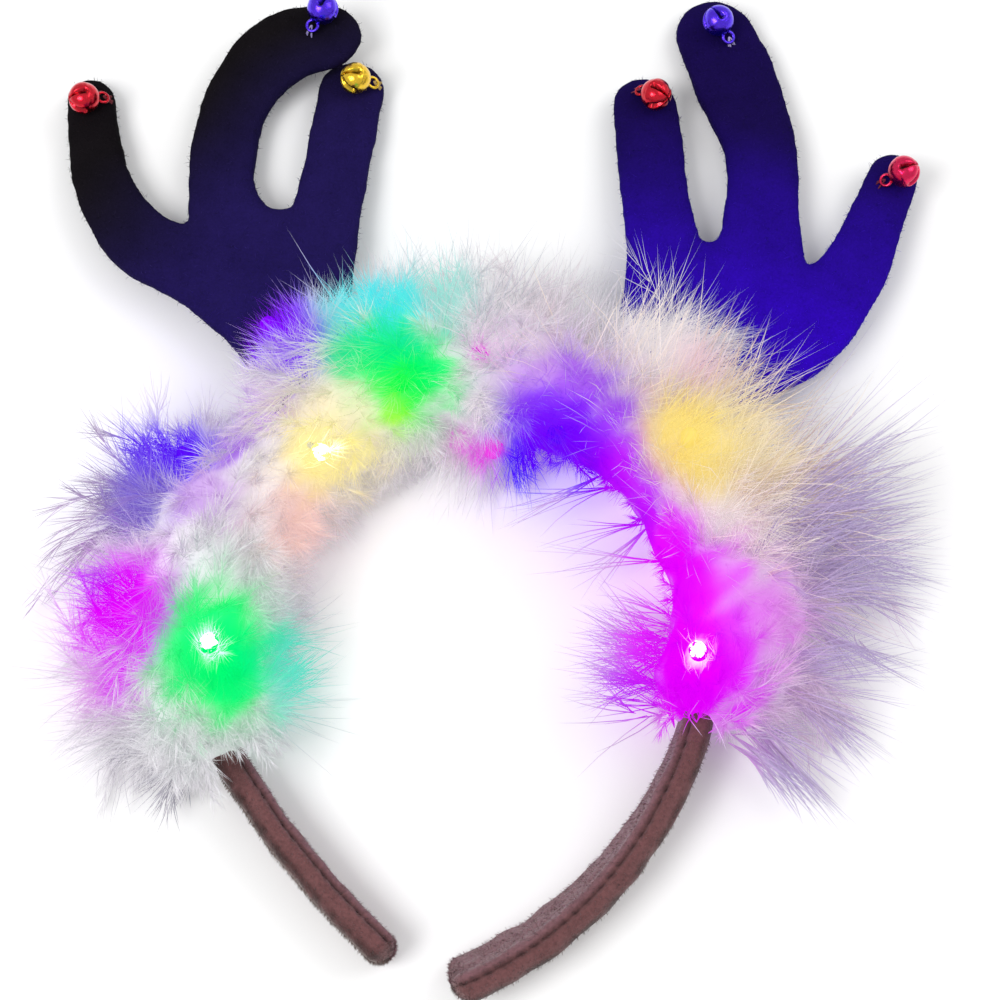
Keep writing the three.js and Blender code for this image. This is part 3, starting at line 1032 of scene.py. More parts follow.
    def pile(self) -> Surface:
        """Short fibres on the bare legs, combed towards the ends and bent over at their tips.

        Returns:
            The fibres as one surface.
        """
        rng = np.random.default_rng(self.nap.seed)
        distance, share = self.marks()
        points, face, tint = self.skin(distance, share)
        bare = self.hoop.distance_at(self.bare_angles)
        rows = np.flatnonzero((distance < bare[0]) | (distance > bare[1]))
        row = rng.choice(rows[:-1], self.nap.count)
        side = rng.integers(0, self.sides, self.nap.count)
        step = rng.uniform(size=(2, self.nap.count, 1))
        beside, below = (side + 1) % self.sides, np.minimum(row + 1, len(distance) - 1)
        here = points[row, side]
        start = here + (points[row, beside] - here) * step[0] + (points[below, side] - here) * step[1]
        comb = self.hoop.places(distance[row]).onward * np.sign(distance[row])[:, None]
        fibres, _ = self.nap.fibres(rng, start, face[row, side], comb)
        return self.nap.tinted(rng, fibres, tint[row, side])

    def build(self, workshop: Workshop) -> None:
        """Makes the band and its pile.

        Args:
            workshop: Where the pieces are made.
        """
        plush = BROWN_PLUSH.make()
        body = workshop.make("band_plush", self.body(), plush, Slot.BAND)
        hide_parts("band")
        workshop.make("band_pile", self.pile(), plush, Slot.BAND)


@dataclass(frozen=True)
class Station:
    """A place on a tine: its centre line, its width and how far it bends up there."""

    x: float
    y: float
    width: float
    lift: float = 0.0


@dataclass
class FeltAntler:
    """A padded felt antler: tines and a web between them, sloping down to the floor."""

    name: str
    floor_y: float
    tines: tuple[tuple[Station, ...], ...]
    web: tuple[Station, ...]
    tip_colour: Colour
    root_colour: Colour
    fade: Span
    slant: float = 0.0
    root_y: float = 16.5
    root_z: float = 13.0
    thickness: float = 6.5
    roundness: float = 3.2
    steps: int = 90
    curve_steps: int = 360
    end_rows: int = 16
    end_margin: float = 0.05
    flat_end: float = 0.01
    sides: int = 40
    voxel: float = 1.0
    soften: float = 0.5
    soften_rounds: int = 14
    seam_depth: float = 0.55
    seam_width: float = 0.9
    lumps: tuple[Wave, ...] = (Wave(0.25, 16.0, 22), Wave(0.1, 5.0, 23))
    patches: Wave = Wave(5.0, 45.0, 21)
    floor_gap: float = 0.15
    stray: float = 0.4
    nap: Nap = Nap(seed=31, count=4200, length=1.3, radius=0.055, lengths=(0.5, 1.4), tones=(0.8, 3.0),
                   scatter=0.8, tip_scatter=0.6, stand=0.5, least_rise=0.15, tone_floor=0.006)

    def height(self, y: Array) -> Array:
        """Height of the felt's middle over the floor at y."""
        slope = (self.root_z - self.thickness / 2.0) / (self.floor_y - self.root_y)
        return self.root_z - slope * (y - self.root_y)

    def stroke(self, stations: Sequence[Station], round_end: bool) -> Surface:
        """One padded tine: a rounded oblong section carried along a smooth curve.

        The section is a superellipse as wide as the tine and as thick as the felt. At a round end
        its width follows a circle down to nothing.

        Args:
            stations: The tine's stations.
            round_end: Whether the last station is a tip.

        Returns:
            The closed surface, with the felt still level.
        """
        table = np.array([(s.x, s.y, s.lift, s.width) for s in stations])
        reach = np.concatenate([2 * table[:1] - table[1:2], table, 2 * table[-1:] - table[-2:-1]])
        share = np.linspace(0.0, len(table) - 1.0, self.curve_steps)
        knot = np.minimum(share.astype(int), len(table) - 2)
        t = (share - knot)[:, None]
        p0, p1, p2, p3 = (reach[knot + k] for k in range(4))
        curve = 0.5 * (2 * p1 + (p2 - p0) * t + (2 * p0 - 5 * p1 + 4 * p2 - p3) * t**2
                       + (3 * p1 - p0 - 3 * p2 + p3) * t**3)
        run = np.append(0.0, np.cumsum(np.linalg.norm(np.diff(curve[:, :3], axis=0), axis=1)))
        end = stations[-1].width / 2.0 if round_end else self.flat_end
        turn = np.linspace(0.0, np.pi / 2.0 - self.end_margin, self.end_rows)
        straight = np.linspace(0.0, run[-1] - end, self.steps)[:-1]
        marks = np.concatenate([straight, run[-1] - end + end * np.sin(turn)])
        rounding = np.maximum(np.cos(turn), self.end_margin) if round_end else np.ones(len(turn))
        narrow = np.concatenate([np.ones(len(straight)), rounding])
        x, y, z, width = (np.interp(marks, run, curve[:, k]) for k in range(4))
        path = np.stack([x, y, z], -1)
        along = unit(np.gradient(path[:, :2], axis=0))
        across = np.stack([along[:, 1], -along[:, 0], np.zeros(len(marks))], -1)
        angle = circle(self.sides)
        power = 2.0 / self.roundness
        wide = np.sign(np.cos(angle)) * np.abs(np.cos(angle)) ** power
        high = np.sign(np.sin(angle)) * np.abs(np.sin(angle)) ** power
        half = (width / 2.0 * narrow)[:, None, None]
        thick = self.thickness / 2.0 * np.sqrt(narrow)[:, None, None]
        rings = path[:, None] + across[:, None] * wide[:, None] * half + UP * high[:, None] * thick
        return capped_tube(rings)

    def fused(self) -> tuple[Array, Array, Array]:
        """Tines and web fused into one padded skin by a voxel remesh, then smoothed.

        Returns:
            Points in design millimetres with the felt still level, normals, and quads.
        """
        parts = [self.stroke(tine, True) for tine in self.tines] + [self.stroke(self.web, False)]
        whole = joined(parts)
        mesh = bpy.data.meshes.new("felt_blank")
        faces = [face.tolist() for group in whole.faces for face in group]
        mesh.from_pydata((whole.points * MM).tolist(), [], faces)
        blank = bpy.data.objects.new("felt_blank", mesh)
        bpy.context.scene.collection.objects.link(blank)
        remesh = blank.modifiers.new("fuse", "REMESH")
        remesh.mode = "VOXEL"
        remesh.voxel_size = self.voxel * MM
        soften = blank.modifiers.new("soften", "SMOOTH")
        soften.factor = self.soften
        soften.iterations = self.soften_rounds
        result = blank.evaluated_get(bpy.context.evaluated_depsgraph_get()).to_mesh()
        points = np.empty(len(result.vertices) * 3, np.float32)
        normals = np.empty_like(points)
        result.vertices.foreach_get("co", points)
        result.vertex_normals.foreach_get("vector", normals)
        quads = np.empty(len(result.loops), np.int32)
        result.loops.foreach_get("vertex_index", quads)
        bpy.data.objects.remove(blank, do_unlink=True)
        bpy.data.meshes.remove(mesh)
        points, normals = (flat.reshape(-1, 3).astype(float) for flat in (points, normals))
        return points / MM, normals, quads.reshape(-1, 4)

    def tint(self, points: Array) -> Array:
        """Felt colour with painted lamp light: dark felt, near black at the tips, turning to painted indigo
        lamp light towards the root, in soft patches.

        The painted light's fade runs over y less slant times x, in millimetres.

        Args:
            points: Places in design millimetres, (count, 3).

        Returns:
            The linear colour at each place.
        """
        height = points[:, 1] - self.slant * points[:, 0] + self.patches.at(points)
        # Painted indigo lamp light grows towards the root over the fade.
        share = smoothstep(height, *self.fade)[:, None]
        return linear(*self.root_colour) * (1.0 - share) + linear(*self.tip_colour) * share

    def fuzz(self, points: Array, normals: Array) -> Surface:
        """Stray fibres all over the felt.

        Args:
            points: The felt's points.
            normals: Its normals there.

        Returns:
            The fibres as one surface.
        """
        rng = np.random.default_rng(self.nap.seed)
        pick = rng.choice(len(points), self.nap.count)
        normal = normals[pick]
        start = points[pick] + self.stray * rng.normal(size=normal.shape) * (1.0 - np.abs(normal))
        fibres, roots = self.nap.fibres(rng, start, normal, np.zeros(3))
        return self.nap.tinted(rng, fibres, self.tint(roots))

    def build(self, workshop: Workshop, felt: bpy.types.Material) -> None:
        """Makes the antler, with the seam round its edge, and its fuzz.

        Args:
            workshop: Where the pieces are made.
            felt: The felt's material.
        """
        points, normals, quads = self.fused()
        level = np.abs(normals[:, 2])
        seam = self.seam_depth * hump(points[:, 2], self.seam_width) * (1.0 - level) ** 2
        lumps = sum(wave.at(points) for wave in self.lumps)
        points = points + normals * (lumps - seam)[:, None]
        points[:, 2] = np.maximum(points[:, 2] + self.height(points[:, 1]), self.floor_gap)
        body = Surface(points, [quads], {"tint": self.tint(points)})
        piece = workshop.make(f"{self.name}_felt", body, felt, Slot.FELT)
        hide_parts(self.name)
        workshop.make(f"{self.name}_fuzz", self.fuzz(points, normals), felt, Slot.FELT)


@dataclass(frozen=True)
class JingleBell:
    """A small pressed bell with a cross slit, its sewing loop and the thread that holds it.

    The slit's run and end and the dome's end are spans of the angle from the pole opposite the
    loop. The thread's fan is how far each spread moves it ahead, to one side and at its crown.
    """

    tine: str
    x: float
    y: float
    lift: float
    heading: float
    tip: float
    slot: Slot
    thread: Colour
    radius: float = 4.2
    gap: float = 0.3
    rows: int = 44
    sides: int = 64
    pole_gap: float = 0.02
    slit_half: float = 0.22
    slit_widening: float = 0.5
    slit_run: Span = (0.1, 1.35)
    slit_end: Span = (1.38, 1.55)
    slit_edge: Span = (0.55, 1.25)
    slit_depth: float = 0.5
    slit_dark: float = 0.96
    hole_polar: float = 1.36
    hole_edge: Span = (0.45, 0.95)
    dome_height: float = 0.045
    dome_end: Span = (1.2, 1.8)
    rim_height: float = 0.03
    rim_width: float = 0.05
    loop_radius: float = 1.5
    loop_wire: float = 0.45
    loop_rows: int = 36
    loop_sides: int = 12
    loop_tone: float = 0.8
    thread_radius: float = 0.17
    thread_rows: int = 15
    thread_sides: int = 6
    thread_spreads: tuple[float, ...] = (-0.5, 0.1, 0.6)
    thread_ahead: float = 1.7
    thread_feet: Span = (0.7, 0.8)
    thread_fan: tuple[float, float, float] = (0.4, 0.6, 0.3)
    thread_sink: float = 0.3
    thread_rise: float = 0.7

    def turn(self) -> Array:
        """Rotation of the bell: its loop's direction is turned from +Z down to the felt.

        Returns:
            The rotation matrix.
        """
        tilt, head = np.radians(90.0 + self.tip), np.radians(self.heading)
        about_y = np.array([[np.cos(tilt), 0, np.sin(tilt)], [0, 1, 0], [-np.sin(tilt), 0, np.cos(tilt)]])
        about_z = np.array([[np.cos(head), -np.sin(head), 0], [np.sin(head), np.cos(head), 0], [0, 0, 1]])
        return about_z @ about_y

    def shell(self) -> Surface:
        """The bell: a ball pressed in along a cross of slits that ends in four round holes.

        The slits run from the pole opposite the loop to the equator and widen on the way, and the
        four leaves between them are slightly domed.

        Returns:
            The closed surface round the origin, with painted shade darkening the slits in its tint.
        """
        polar = np.linspace(self.pole_gap, np.pi - self.pole_gap, self.rows)[:, None]
        turn = circle(self.sides)[None]
        width = self.radius * np.sin(polar) * np.minimum(np.abs(np.sin(turn)), np.abs(np.cos(turn)))
        half = self.slit_half + self.slit_widening * smoothstep(polar, *self.slit_run)
        low, high = (half * share for share in self.slit_edge)
        slit = (1.0 - smoothstep(width, low, high)) * (1.0 - smoothstep(polar, *self.slit_end))
        hole = np.hypot(width, self.radius * (polar - self.hole_polar))
        slit = np.maximum(slit, 1.0 - smoothstep(hole, *self.hole_edge))
        leaves = np.sin(2.0 * turn) ** 2 * np.sin(polar) * (1.0 - smoothstep(polar, *self.dome_end))
        dome = 1.0 + self.dome_height * leaves
        rim = 1.0 + self.rim_height * hump(polar - np.pi / 2.0, self.rim_width)
        reach = self.radius * dome * rim * (1.0 - self.slit_depth * slit)
        flat = reach * np.sin(polar)
        rings = np.stack([flat * np.cos(turn), flat * np.sin(turn), -reach * np.cos(polar)], -1)
        surface = capped_tube(rings)
        # Painted shade: the slits and their end holes are darkened in the tint.
        surface.colours["tint"] = with_ends(np.repeat(1.0 - self.slit_dark * slit[..., None], 3, -1))
        return surface

    def loop(self) -> Surface:
        """The sewing loop: a ring of wire in the bell's own YZ plane.

        Returns:
            The closed surface, beside the bell's shell.
        """
        turn = circle(self.loop_rows)[:, None]
        wire = circle(self.loop_sides)[None]
        reach = self.loop_radius + self.loop_wire * np.cos(wire)
        middle = self.radius + self.loop_radius - self.loop_wire
        places = (self.loop_wire * np.sin(wire), reach * np.cos(turn), reach * np.sin(turn) + middle)
        surface = ring_surface(np.stack(np.broadcast_arrays(*places), -1))
        surface.colours["tint"] = np.full((len(surface.points), 3), self.loop_tone)
        return surface

    def stitches(self, felt: float, middle: Array) -> Surface:
        """Thread from the felt through the loop and back, three times, fanned to both sides.

        Args:
            felt: Height of the felt's upper face.
            middle: The bell's centre.

        Returns:
            The closed threads as one surface.
        """
        towards = self.turn() @ UP
        eye = middle + towards * (self.radius + self.loop_radius)
        flat = unit(np.array((towards[0], towards[1], 0.0)))
        beside = np.array((-flat[1], flat[0], 0.0))
        share = np.linspace(0.0, 1.0, self.thread_rows)
        near_foot, far_foot = self.thread_feet
        fan_ahead, fan_beside, fan_crown = self.thread_fan
        low = felt - self.thread_sink
        threads = []
        for spread in self.thread_spreads:
            ahead = eye + flat * (self.thread_ahead + fan_ahead * spread)
            left = np.array((*(ahead + beside * (near_foot + fan_beside * spread))[:2], low))
            right = np.array((*(ahead - beside * (far_foot - fan_beside * spread))[:2], low))
            crown = eye + UP * self.thread_rise + flat * fan_crown * spread
            control = 2.0 * crown - (left + right) / 2.0
            path = bezier(left[None], control[None], right[None], share[None])[0]
            threads.append(rod(path, self.thread_radius, self.thread_sides))
        return joined(threads)

    def build(self, workshop: Workshop, antler: FeltAntler, finish: bpy.types.Material) -> None:
        """Makes the bell on its tine.

        Args:
            workshop: Where the pieces are made.
            antler: The antler it is sewn to.
            finish: The bell's material.
        """
        felt = float(antler.height(self.y)) + self.lift + antler.thickness / 2.0
        middle = np.array((self.x, self.y, felt + self.gap + self.radius))
        bell = joined([self.shell(), self.loop()])
        bell.points = bell.points @ self.turn().T + middle
        piece = workshop.make(f"bell_{self.tine}_shell", bell, finish, self.slot)
        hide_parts(f"bell_{self.tine}")
        cotton = ThreadFinish(f"thread_{self.tine}", self.thread, 0.8).make()
        workshop.make(f"bell_{self.tine}_thread", self.stitches(felt, middle), cotton, None)


@dataclass(frozen=True)
class Glow:
    """Lamp light where it comes out of the feathers: its place round the crown and how far it spreads."""

    angle: float
    reach: float
    z: float
    colour: Colour
    spread: float
    weight: float

    def place(self, hoop: Hoop) -> Array:
        """Its place in design millimetres."""
        turn = np.radians(self.angle)
        return np.array((*hoop.centre, self.z)) + self.reach * np.array((np.cos(turn), np.sin(turn), 0.0))


@dataclass(frozen=True)
class Lamp:
    """A lamp in the feathers, with its light and whether its bare lens shows."""

    slot: Slot
    glow: Glow
    bare: bool = False


@dataclass
class LampString:
    """The lamps, the wire along the band's upper edge and a short lead to each lamp."""

    hoop: Hoop
    lamps: tuple[Lamp, ...]
    spills: tuple[Glow, ...]
    radius: float = 2.6
    power: float = 0.004
    ragged: Wave = Wave(0.24, 10.0, 43)
    depth: float = 0.5
    fall: int = 6
    faintest: float = 1e-6
    takeover: float = 1.6
    hot_reach: Span = (3.0, 5.4)
    wire_radius: float = 0.8
    wire_sides: int = 10
    wire_colour: Colour = (214, 214, 205)
    gap: float = 0.3
    wire_angles: Span = (200.0, -12.0)
    run_rows: int = 160
    lead_rows: int = 10
    lead_inset: float = 0.7
    bulb_rows: int = 22
    bulb_sides: int = 24
    bulb_skew: float = 0.2
    bulb_girth: float = 0.93
    bulb_taper: float = 0.25
    bulb_power: int = 4
    bulb_least: float = 0.01
    collar_height: float = 0.25
    collar_at: float = 0.18
    collar_width: float = 0.07

    def wire_point(self, angle: Array) -> Array:
        """Places on the wire above the band's middle."""
        places = self.hoop.places(self.hoop.distance_at(np.atleast_1d(angle)))
        return places.middle + UP * (self.hoop.width / 2.0 + self.gap + self.wire_radius)

    def lead(self, lamp: Lamp) -> tuple[Array, Array]:
        """Root of a lamp's lead on the wire, and the lamp's place at its head."""
        return self.wire_point(lamp.glow.angle)[0], lamp.glow.place(self.hoop)

    def wire(self) -> Surface:
        """The run along the band with its leads, as round rods.

        Returns:
            The rods as one surface.
        """
        paths = [self.wire_point(np.linspace(*self.wire_angles, self.run_rows))]
        for root, head in map(self.lead, self.lamps):
            end = 1.0 - self.radius * self.lead_inset / np.linalg.norm(head - root)
            paths.append(root + (head - root) * np.linspace(0.0, end, self.lead_rows)[:, None])
        return joined([rod(path, self.wire_radius, self.wire_sides) for path in paths])

    def bulb(self, lamp: Lamp) -> Surface:
        """A lamp's lens: a domed lathe shape with a collar, standing on its lead.

        Args:
            lamp: The lamp.

        Returns:
            The closed surface in its place.
        """
        root, head = self.lead(lamp)
        axis = unit(head - root)
        side = unit(np.cross(axis, UP + self.bulb_skew))
        share = np.linspace(0.0, 1.0, self.bulb_rows)
        height = -self.radius + 2.0 * self.radius * share
        dome = np.sqrt(np.maximum(1.0 - (2.0 * share - 1.0) ** self.bulb_power, self.bulb_least))
        girth = self.radius * dome * (1.0 - self.bulb_taper * share**2)
        girth = girth + self.collar_height * hump(share - self.collar_at, self.collar_width)
        spoke = spokes(side[None], np.cross(axis, side)[None], circle(self.bulb_sides))
        rings = head + axis * height[:, None, None] + spoke * (girth * self.bulb_girth)[:, None, None]
        return capped_tube(rings)

    def shine(self, points: Array) -> tuple[Array, Array, Array]:
        """Light of the lamps at each point, as the feathers show it.

        A glow's weight at a distance is its own weight / (1 + (distance / spread) ** fall): flat
        near the middle and then falling fast. Height counts for less in the distance, as the down
        carries light upwards, and soft noise stretches it, so that the edge of a glow is ragged.

        Args:
            points: Places in design millimetres, (count, 3).

        Returns:
            The light's mean linear colour, how far it takes over from white, 0 to 1, and how
            near a bare lamp is, 0 to 1.
        """
        total = np.full(len(points), self.faintest)
        colour = np.zeros((len(points), 3))
        hot = np.zeros(len(points))
        stretch = 1.0 + self.ragged.at(points)
        squash = np.array((1.0, 1.0, self.depth))
        for glow in (*(lamp.glow for lamp in self.lamps), *self.spills):
            gap = np.linalg.norm((points - glow.place(self.hoop)) * squash, axis=1) * stretch
            weight = glow.weight / (1.0 + (gap / glow.spread) ** self.fall)
            total += weight
            colour += weight[:, None] * linear(*glow.colour)
        for lamp in self.lamps:
            if lamp.bare:
                gap = np.linalg.norm(points - lamp.glow.place(self.hoop), axis=1) * stretch
                hot = np.maximum(hot, 1.0 - smoothstep(gap, *self.hot_reach))
        return colour / total[:, None], 1.0 - np.exp(-self.takeover * total), hot

    def build(self, workshop: Workshop) -> None:
        """Makes the wire, the lamps and the light they throw.

        Args:
            workshop: Where the pieces are made.
        """
        cover = ThreadFinish("clear_wire", self.wire_colour, 0.4).make()
        wire = workshop.make("lamp_wire", self.wire(), cover, Slot.WIRE)
        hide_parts("light_wire")
        for number, lamp in enumerate(self.lamps, 1):
            top = (lamp.glow.place(self.hoop) + UP * self.radius) * MM + workshop.shift
            hot = top if lamp.bare else None
            finish = BulbFinish(f"lit_lens_{number:02d}", lamp.glow.colour, hot).make()
            lens = workshop.make(f"lens_{number:02d}", self.bulb(lamp), finish, lamp.slot)
            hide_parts(f"lamp_{number:02d}")
            lens.visible_shadow = False
            light = bpy.data.lights.new(f"shine_{number:02d}", "POINT")
            light.color = linear(*lamp.glow.colour)
            light.energy = self.power
            light.shadow_soft_size = self.radius * MM
            source = bpy.data.objects.new(f"shine_{number:02d}", light)
            source.location = Vector(lamp.glow.place(self.hoop) * MM + workshop.shift)
            bpy.context.scene.collection.objects.link(source)


@dataclass(frozen=True)
class Reach:
    """How far the longest feathers reach from the band at an angle: outwards, up and inwards."""

    angle: float
    out: float
    up: float
    inside: float


@dataclass(frozen=True)
class Cut:
    """A kind of feather: how many barbs it has, how they leave the shaft and how fine they are.

    A barb is barb_share of the shaft long, and with brush at 1 the barbs shorten towards the tip
    so that all of them end there. Splay is their angle off the shaft at its root and at its tip,
    and stretch is the part of the shaft that they leave.
    """

    barbs: int
    barb_share: float
    brush: float
    splay: Span
    stretch: Span
    radius: float
    waver: float
    curl: float
    rings: tuple[float, ...]


class Plumage(Enum):
    """The kinds of feather in the boa."""

    DOWN = Cut(barbs=46, barb_share=0.42, brush=0.0, splay=(68.0, 24.0), stretch=(0.3, 1.0),
               radius=0.09, waver=0.35, curl=0.14, rings=(0.0, 0.5))
    STRAND = Cut(barbs=14, barb_share=0.9, brush=1.0, splay=(24.0, 7.0), stretch=(0.05, 0.7),
                 radius=0.14, waver=0.3, curl=0.22, rings=(0.0, 0.36, 0.7))
    WISP = Cut(barbs=34, barb_share=0.36, brush=0.3, splay=(36.0, 10.0), stretch=(0.22, 0.98),
               radius=0.11, waver=0.22, curl=0.2, rings=(0.0, 0.36, 0.7))
    LOCK = Cut(barbs=24, barb_share=0.9, brush=1.0, splay=(7.0, 2.0), stretch=(0.05, 0.6),
               radius=0.155, waver=0.16, curl=0.26, rings=(0.0, 0.36, 0.7))
    HAIR = Cut(barbs=7, barb_share=0.95, brush=1.0, splay=(7.0, 4.0), stretch=(0.0, 0.1),
               radius=0.19, waver=0.5, curl=0.34, rings=(0.0, 0.25, 0.5, 0.75))


@dataclass(frozen=True)
class Growth:
    """Feathers of one kind on a stretch of the band.

    Rises are measured over the outward direction, so that 90 is straight up and 180 inwards.
    Shares are lengths against the reach there, and lean is a slant along the hoop to the right.
    """

    angles: Span
    rises: Span
    count: int
    shares: Span
    kind: Plumage
    root: Colour
    tip: Colour
    lean: float = 0.0


@dataclass(frozen=True)
class Barbs:
    """Barbs of many feathers: root, bend and tip, radius, and colour at the root and the tip."""

    start: Array
    bend: Array
    end: Array
    radius: Array
    root: Array
    tip: Array
    angle: Array


@dataclass(frozen=True)
class Shafts:
    """Shafts of feathers: root, bend and tip, with their length and their angle round the hoop."""

    root: Array
    bend: Array
    tip: Array
    length: Array
    angle: Array


@dataclass
class FeatherTrim:
    """The feather boa: feathers of several kinds standing out of a dense core of down.

    Lengths such as droop and bow are shares of a shaft. Barbs crowd towards a shaft's root by the
    power crowd, and more with a brush. A vane's barbs are longest at its middle, and a brush's at
    its root.
    """

    hoop: Hoop
    lamps: LampString
    reaches: tuple[Reach, ...]
    growths: tuple[Growth, ...]
    angles: Span = (213.0, -21.0)
    core_inset: Span = (4.0, 3.0)
    core_share: tuple[float, float, float] = (0.45, 0.6, 0.66)
    core_down: float = 18.0
    core_rows: int = 190
    core_sides: int = 72
    core_end_start: float = 0.6
    core_end_rows: float = 7.0
    core_lumps: tuple[Wave, ...] = (Wave(0.12, 26.0, 41), Wave(0.04, 11.0, 42))
    # Tint of the core by angle: the mauve on the right is partly the feathers' lavender and partly painted
    # shade between the strands.
    core_tones_and_shade: tuple[tuple[float, Colour], ...] = (
        (-25.0, (206, 184, 220)), (20.0, (210, 190, 210)), (45.0, (206, 188, 198)), (72.0, (206, 186, 206)),
        (92.0, (228, 222, 228)), (215.0, (228, 226, 230)))
    core_relief: float = 0.0005
    lit_tint: float = 0.4
    lit_glow: float = 0.66
    hot_glow: float = 1.5
    hot_white: float = 0.7
    painted_fill_glow: float = 0.21
    first_seed: int = 100
    turn_seed: int = 60
    scatter: float = 1.5
    turn_jitter: float = 0.08
    lobe: Wave = Wave(0.13, 32.0, 53)
    clump: Wave = Wave(0.3, 60.0, 52)
    clump_pitch: float = 0.8
    lean_jitter: float = 0.2
    shortest: float = 10.0
    root_depth: float = 8.0
    droop: float = 0.14
    bow: float = 0.08
    crowd: float = 0.85
    brush_crowd: float = 0.9
    splay_jitter: float = 0.15
    vane_least: float = 0.6
    vane_swell: float = 0.4
    brush_length: float = 1.12
    barb_lengths: Span = (0.65, 1.25)
    barb_tones: Span = (0.82, 1.08)
    barb_radii: Span = (0.75, 1.2)
    barb_halves: Span = (0.5, 0.55)
    follow: float = 0.9
    sag: float = 0.1
    floor_gap: float = 0.3
    ceiling: float = 44.0
    widest: float = 118.0
    squeeze: float = 0.55
    most_barbs: int = 16000

    def reach(self, angle: Array) -> tuple[Array, ...]:
        """Reach outwards, up and inwards at each angle, between the rows of the table.

        Args:
            angle: Degrees round the crown's centre.

        Returns:
            The three reaches in millimetres.
        """
        rows = sorted(self.reaches, key=lambda row: row.angle)
        known = [row.angle for row in rows]
        sides = ([getattr(row, side) for row in rows] for side in ("out", "up", "inside"))
        return tuple(np.interp(angle, known, side) for side in sides)

    def dress(self, surface: Surface, tint: Array) -> Surface:
        """Adds the feathers' own tint, the lamps' light and a faint painted glow of their own tint, which
        lifts their shade, to a surface.

        Args:
            surface: The feathers.
            tint: Their linear colour without the lamps, at each point.

        Returns:
            The same surface with its two colours.
        """
        colour, share, hot = self.lamps.shine(surface.points)
        share = share[:, None]
        surface.colours["tint"] = tint * (1.0 - share) + colour * share * self.lit_tint
        # Painted light: the lamps' colour glows where it takes over, and elsewhere a faint painted glow of
        # the feathers' own tint lifts their shade.
        glow = colour * share * self.lit_glow + tint * (1.0 - share) * self.painted_fill_glow
        white = colour * (1.0 - self.hot_white) + self.hot_white
        surface.colours["glow"] = glow + self.hot_glow * hot[:, None] * white
        return surface

    def core(self) -> Surface:
        """The dense down round the band: an ellipse of the feathers' reach with soft lumps.

        Returns:
            The closed surface, flat where it meets the floor.
        """
        angle = np.linspace(*np.add(self.angles, self.core_inset), self.core_rows)
        out, up, inside = (side * share for side, share in zip(self.reach(angle), self.core_share))
        places = self.hoop.places(self.hoop.distance_at(angle))
        turn = circle(self.core_sides)
        cos, sin = np.cos(turn)[None], np.sin(turn)[None]
        x = cos * np.where(cos > 0.0, out[:, None], inside[:, None])
        z = sin * np.where(sin > 0.0, up[:, None], self.core_down)
        ends = np.minimum(np.arange(self.core_rows), np.arange(self.core_rows)[::-1])
        rounding = np.clip((ends + self.core_end_start) / self.core_end_rows, 0.0, 1.0)
        taper = np.sqrt(rounding)[:, None, None]
        middle = places.middle[:, None]
        spoke = (places.outward[:, None] * x[..., None] + UP * z[..., None]) * taper
        lumps = 1.0 + sum(wave.at(middle + spoke) for wave in self.core_lumps)
        points = middle + spoke * lumps[..., None]
        points[..., 2] = np.maximum(points[..., 2], self.floor_gap)
        surface = capped_tube(points)
        known = [row[0] for row in self.core_tones_and_shade]
        tones = np.array([linear(*row[1]) for row in self.core_tones_and_shade])
        tint = np.stack([np.interp(angle, known, tones[:, k]) for k in range(3)], -1)
        return self.dress(surface, with_ends(np.repeat(tint[:, None], self.core_sides, 1)))

    def shafts(self, growth: Growth, rng: np.random.Generator) -> Shafts:
        """Shafts of one growth's feathers.

        A shaft bends from the band towards the outer form, curls a little to one side and leans
        along the hoop with its neighbours, in lobes of longer and shorter feathers.

        Args:
            growth: Where the feathers stand and what kind they are.
            rng: Where their scatter comes from.

        Returns:
            The shafts.
        """
        count = growth.count
        slack = abs(growth.angles[1] - growth.angles[0]) * self.scatter / count
        angle = np.linspace(*growth.angles, count) + rng.uniform(-slack, slack, count)
        turn = (np.arange(count) * GOLDEN_SHARE + self.turn_jitter * rng.uniform(size=count)) % 1.0
        rise = np.radians(growth.rises[0] + (growth.rises[1] - growth.rises[0]) * turn)
        out, up, inside = self.reach(angle)
        side = np.where(np.cos(rise) > 0.0, out, inside)
        form = 1.0 / np.hypot(np.cos(rise) / side, np.sin(rise) / up)
        places = self.hoop.places(self.hoop.distance_at(angle))
        away = places.outward * np.cos(rise)[:, None] + UP * np.sin(rise)[:, None]
        lobes = 1.0 - self.lobe.height / 2.0 + self.lobe.at(places.middle + away * form[:, None])
        length = np.maximum(form * rng.uniform(*growth.shares, count) * lobes, self.shortest)
        clump_at = np.stack([angle * self.clump_pitch, np.degrees(rise), np.zeros(count)], -1)
        lean = growth.lean + self.clump.at(clump_at) + self.lean_jitter * rng.normal(size=count)
        curl = growth.kind.value.curl * rng.normal(size=count)
        root = places.middle + away * np.minimum(self.root_depth, 0.5 * length)[:, None]
        tip = places.middle + away * length[:, None] + places.onward * (lean * length)[:, None]
        tip = tip - UP * (self.droop * length * np.abs(np.cos(rise)))[:, None]
        bend = root + (away * 0.5 + UP * self.bow + places.onward * curl[:, None]) * length[:, None]
        return Shafts(root, bend, tip, length, angle)

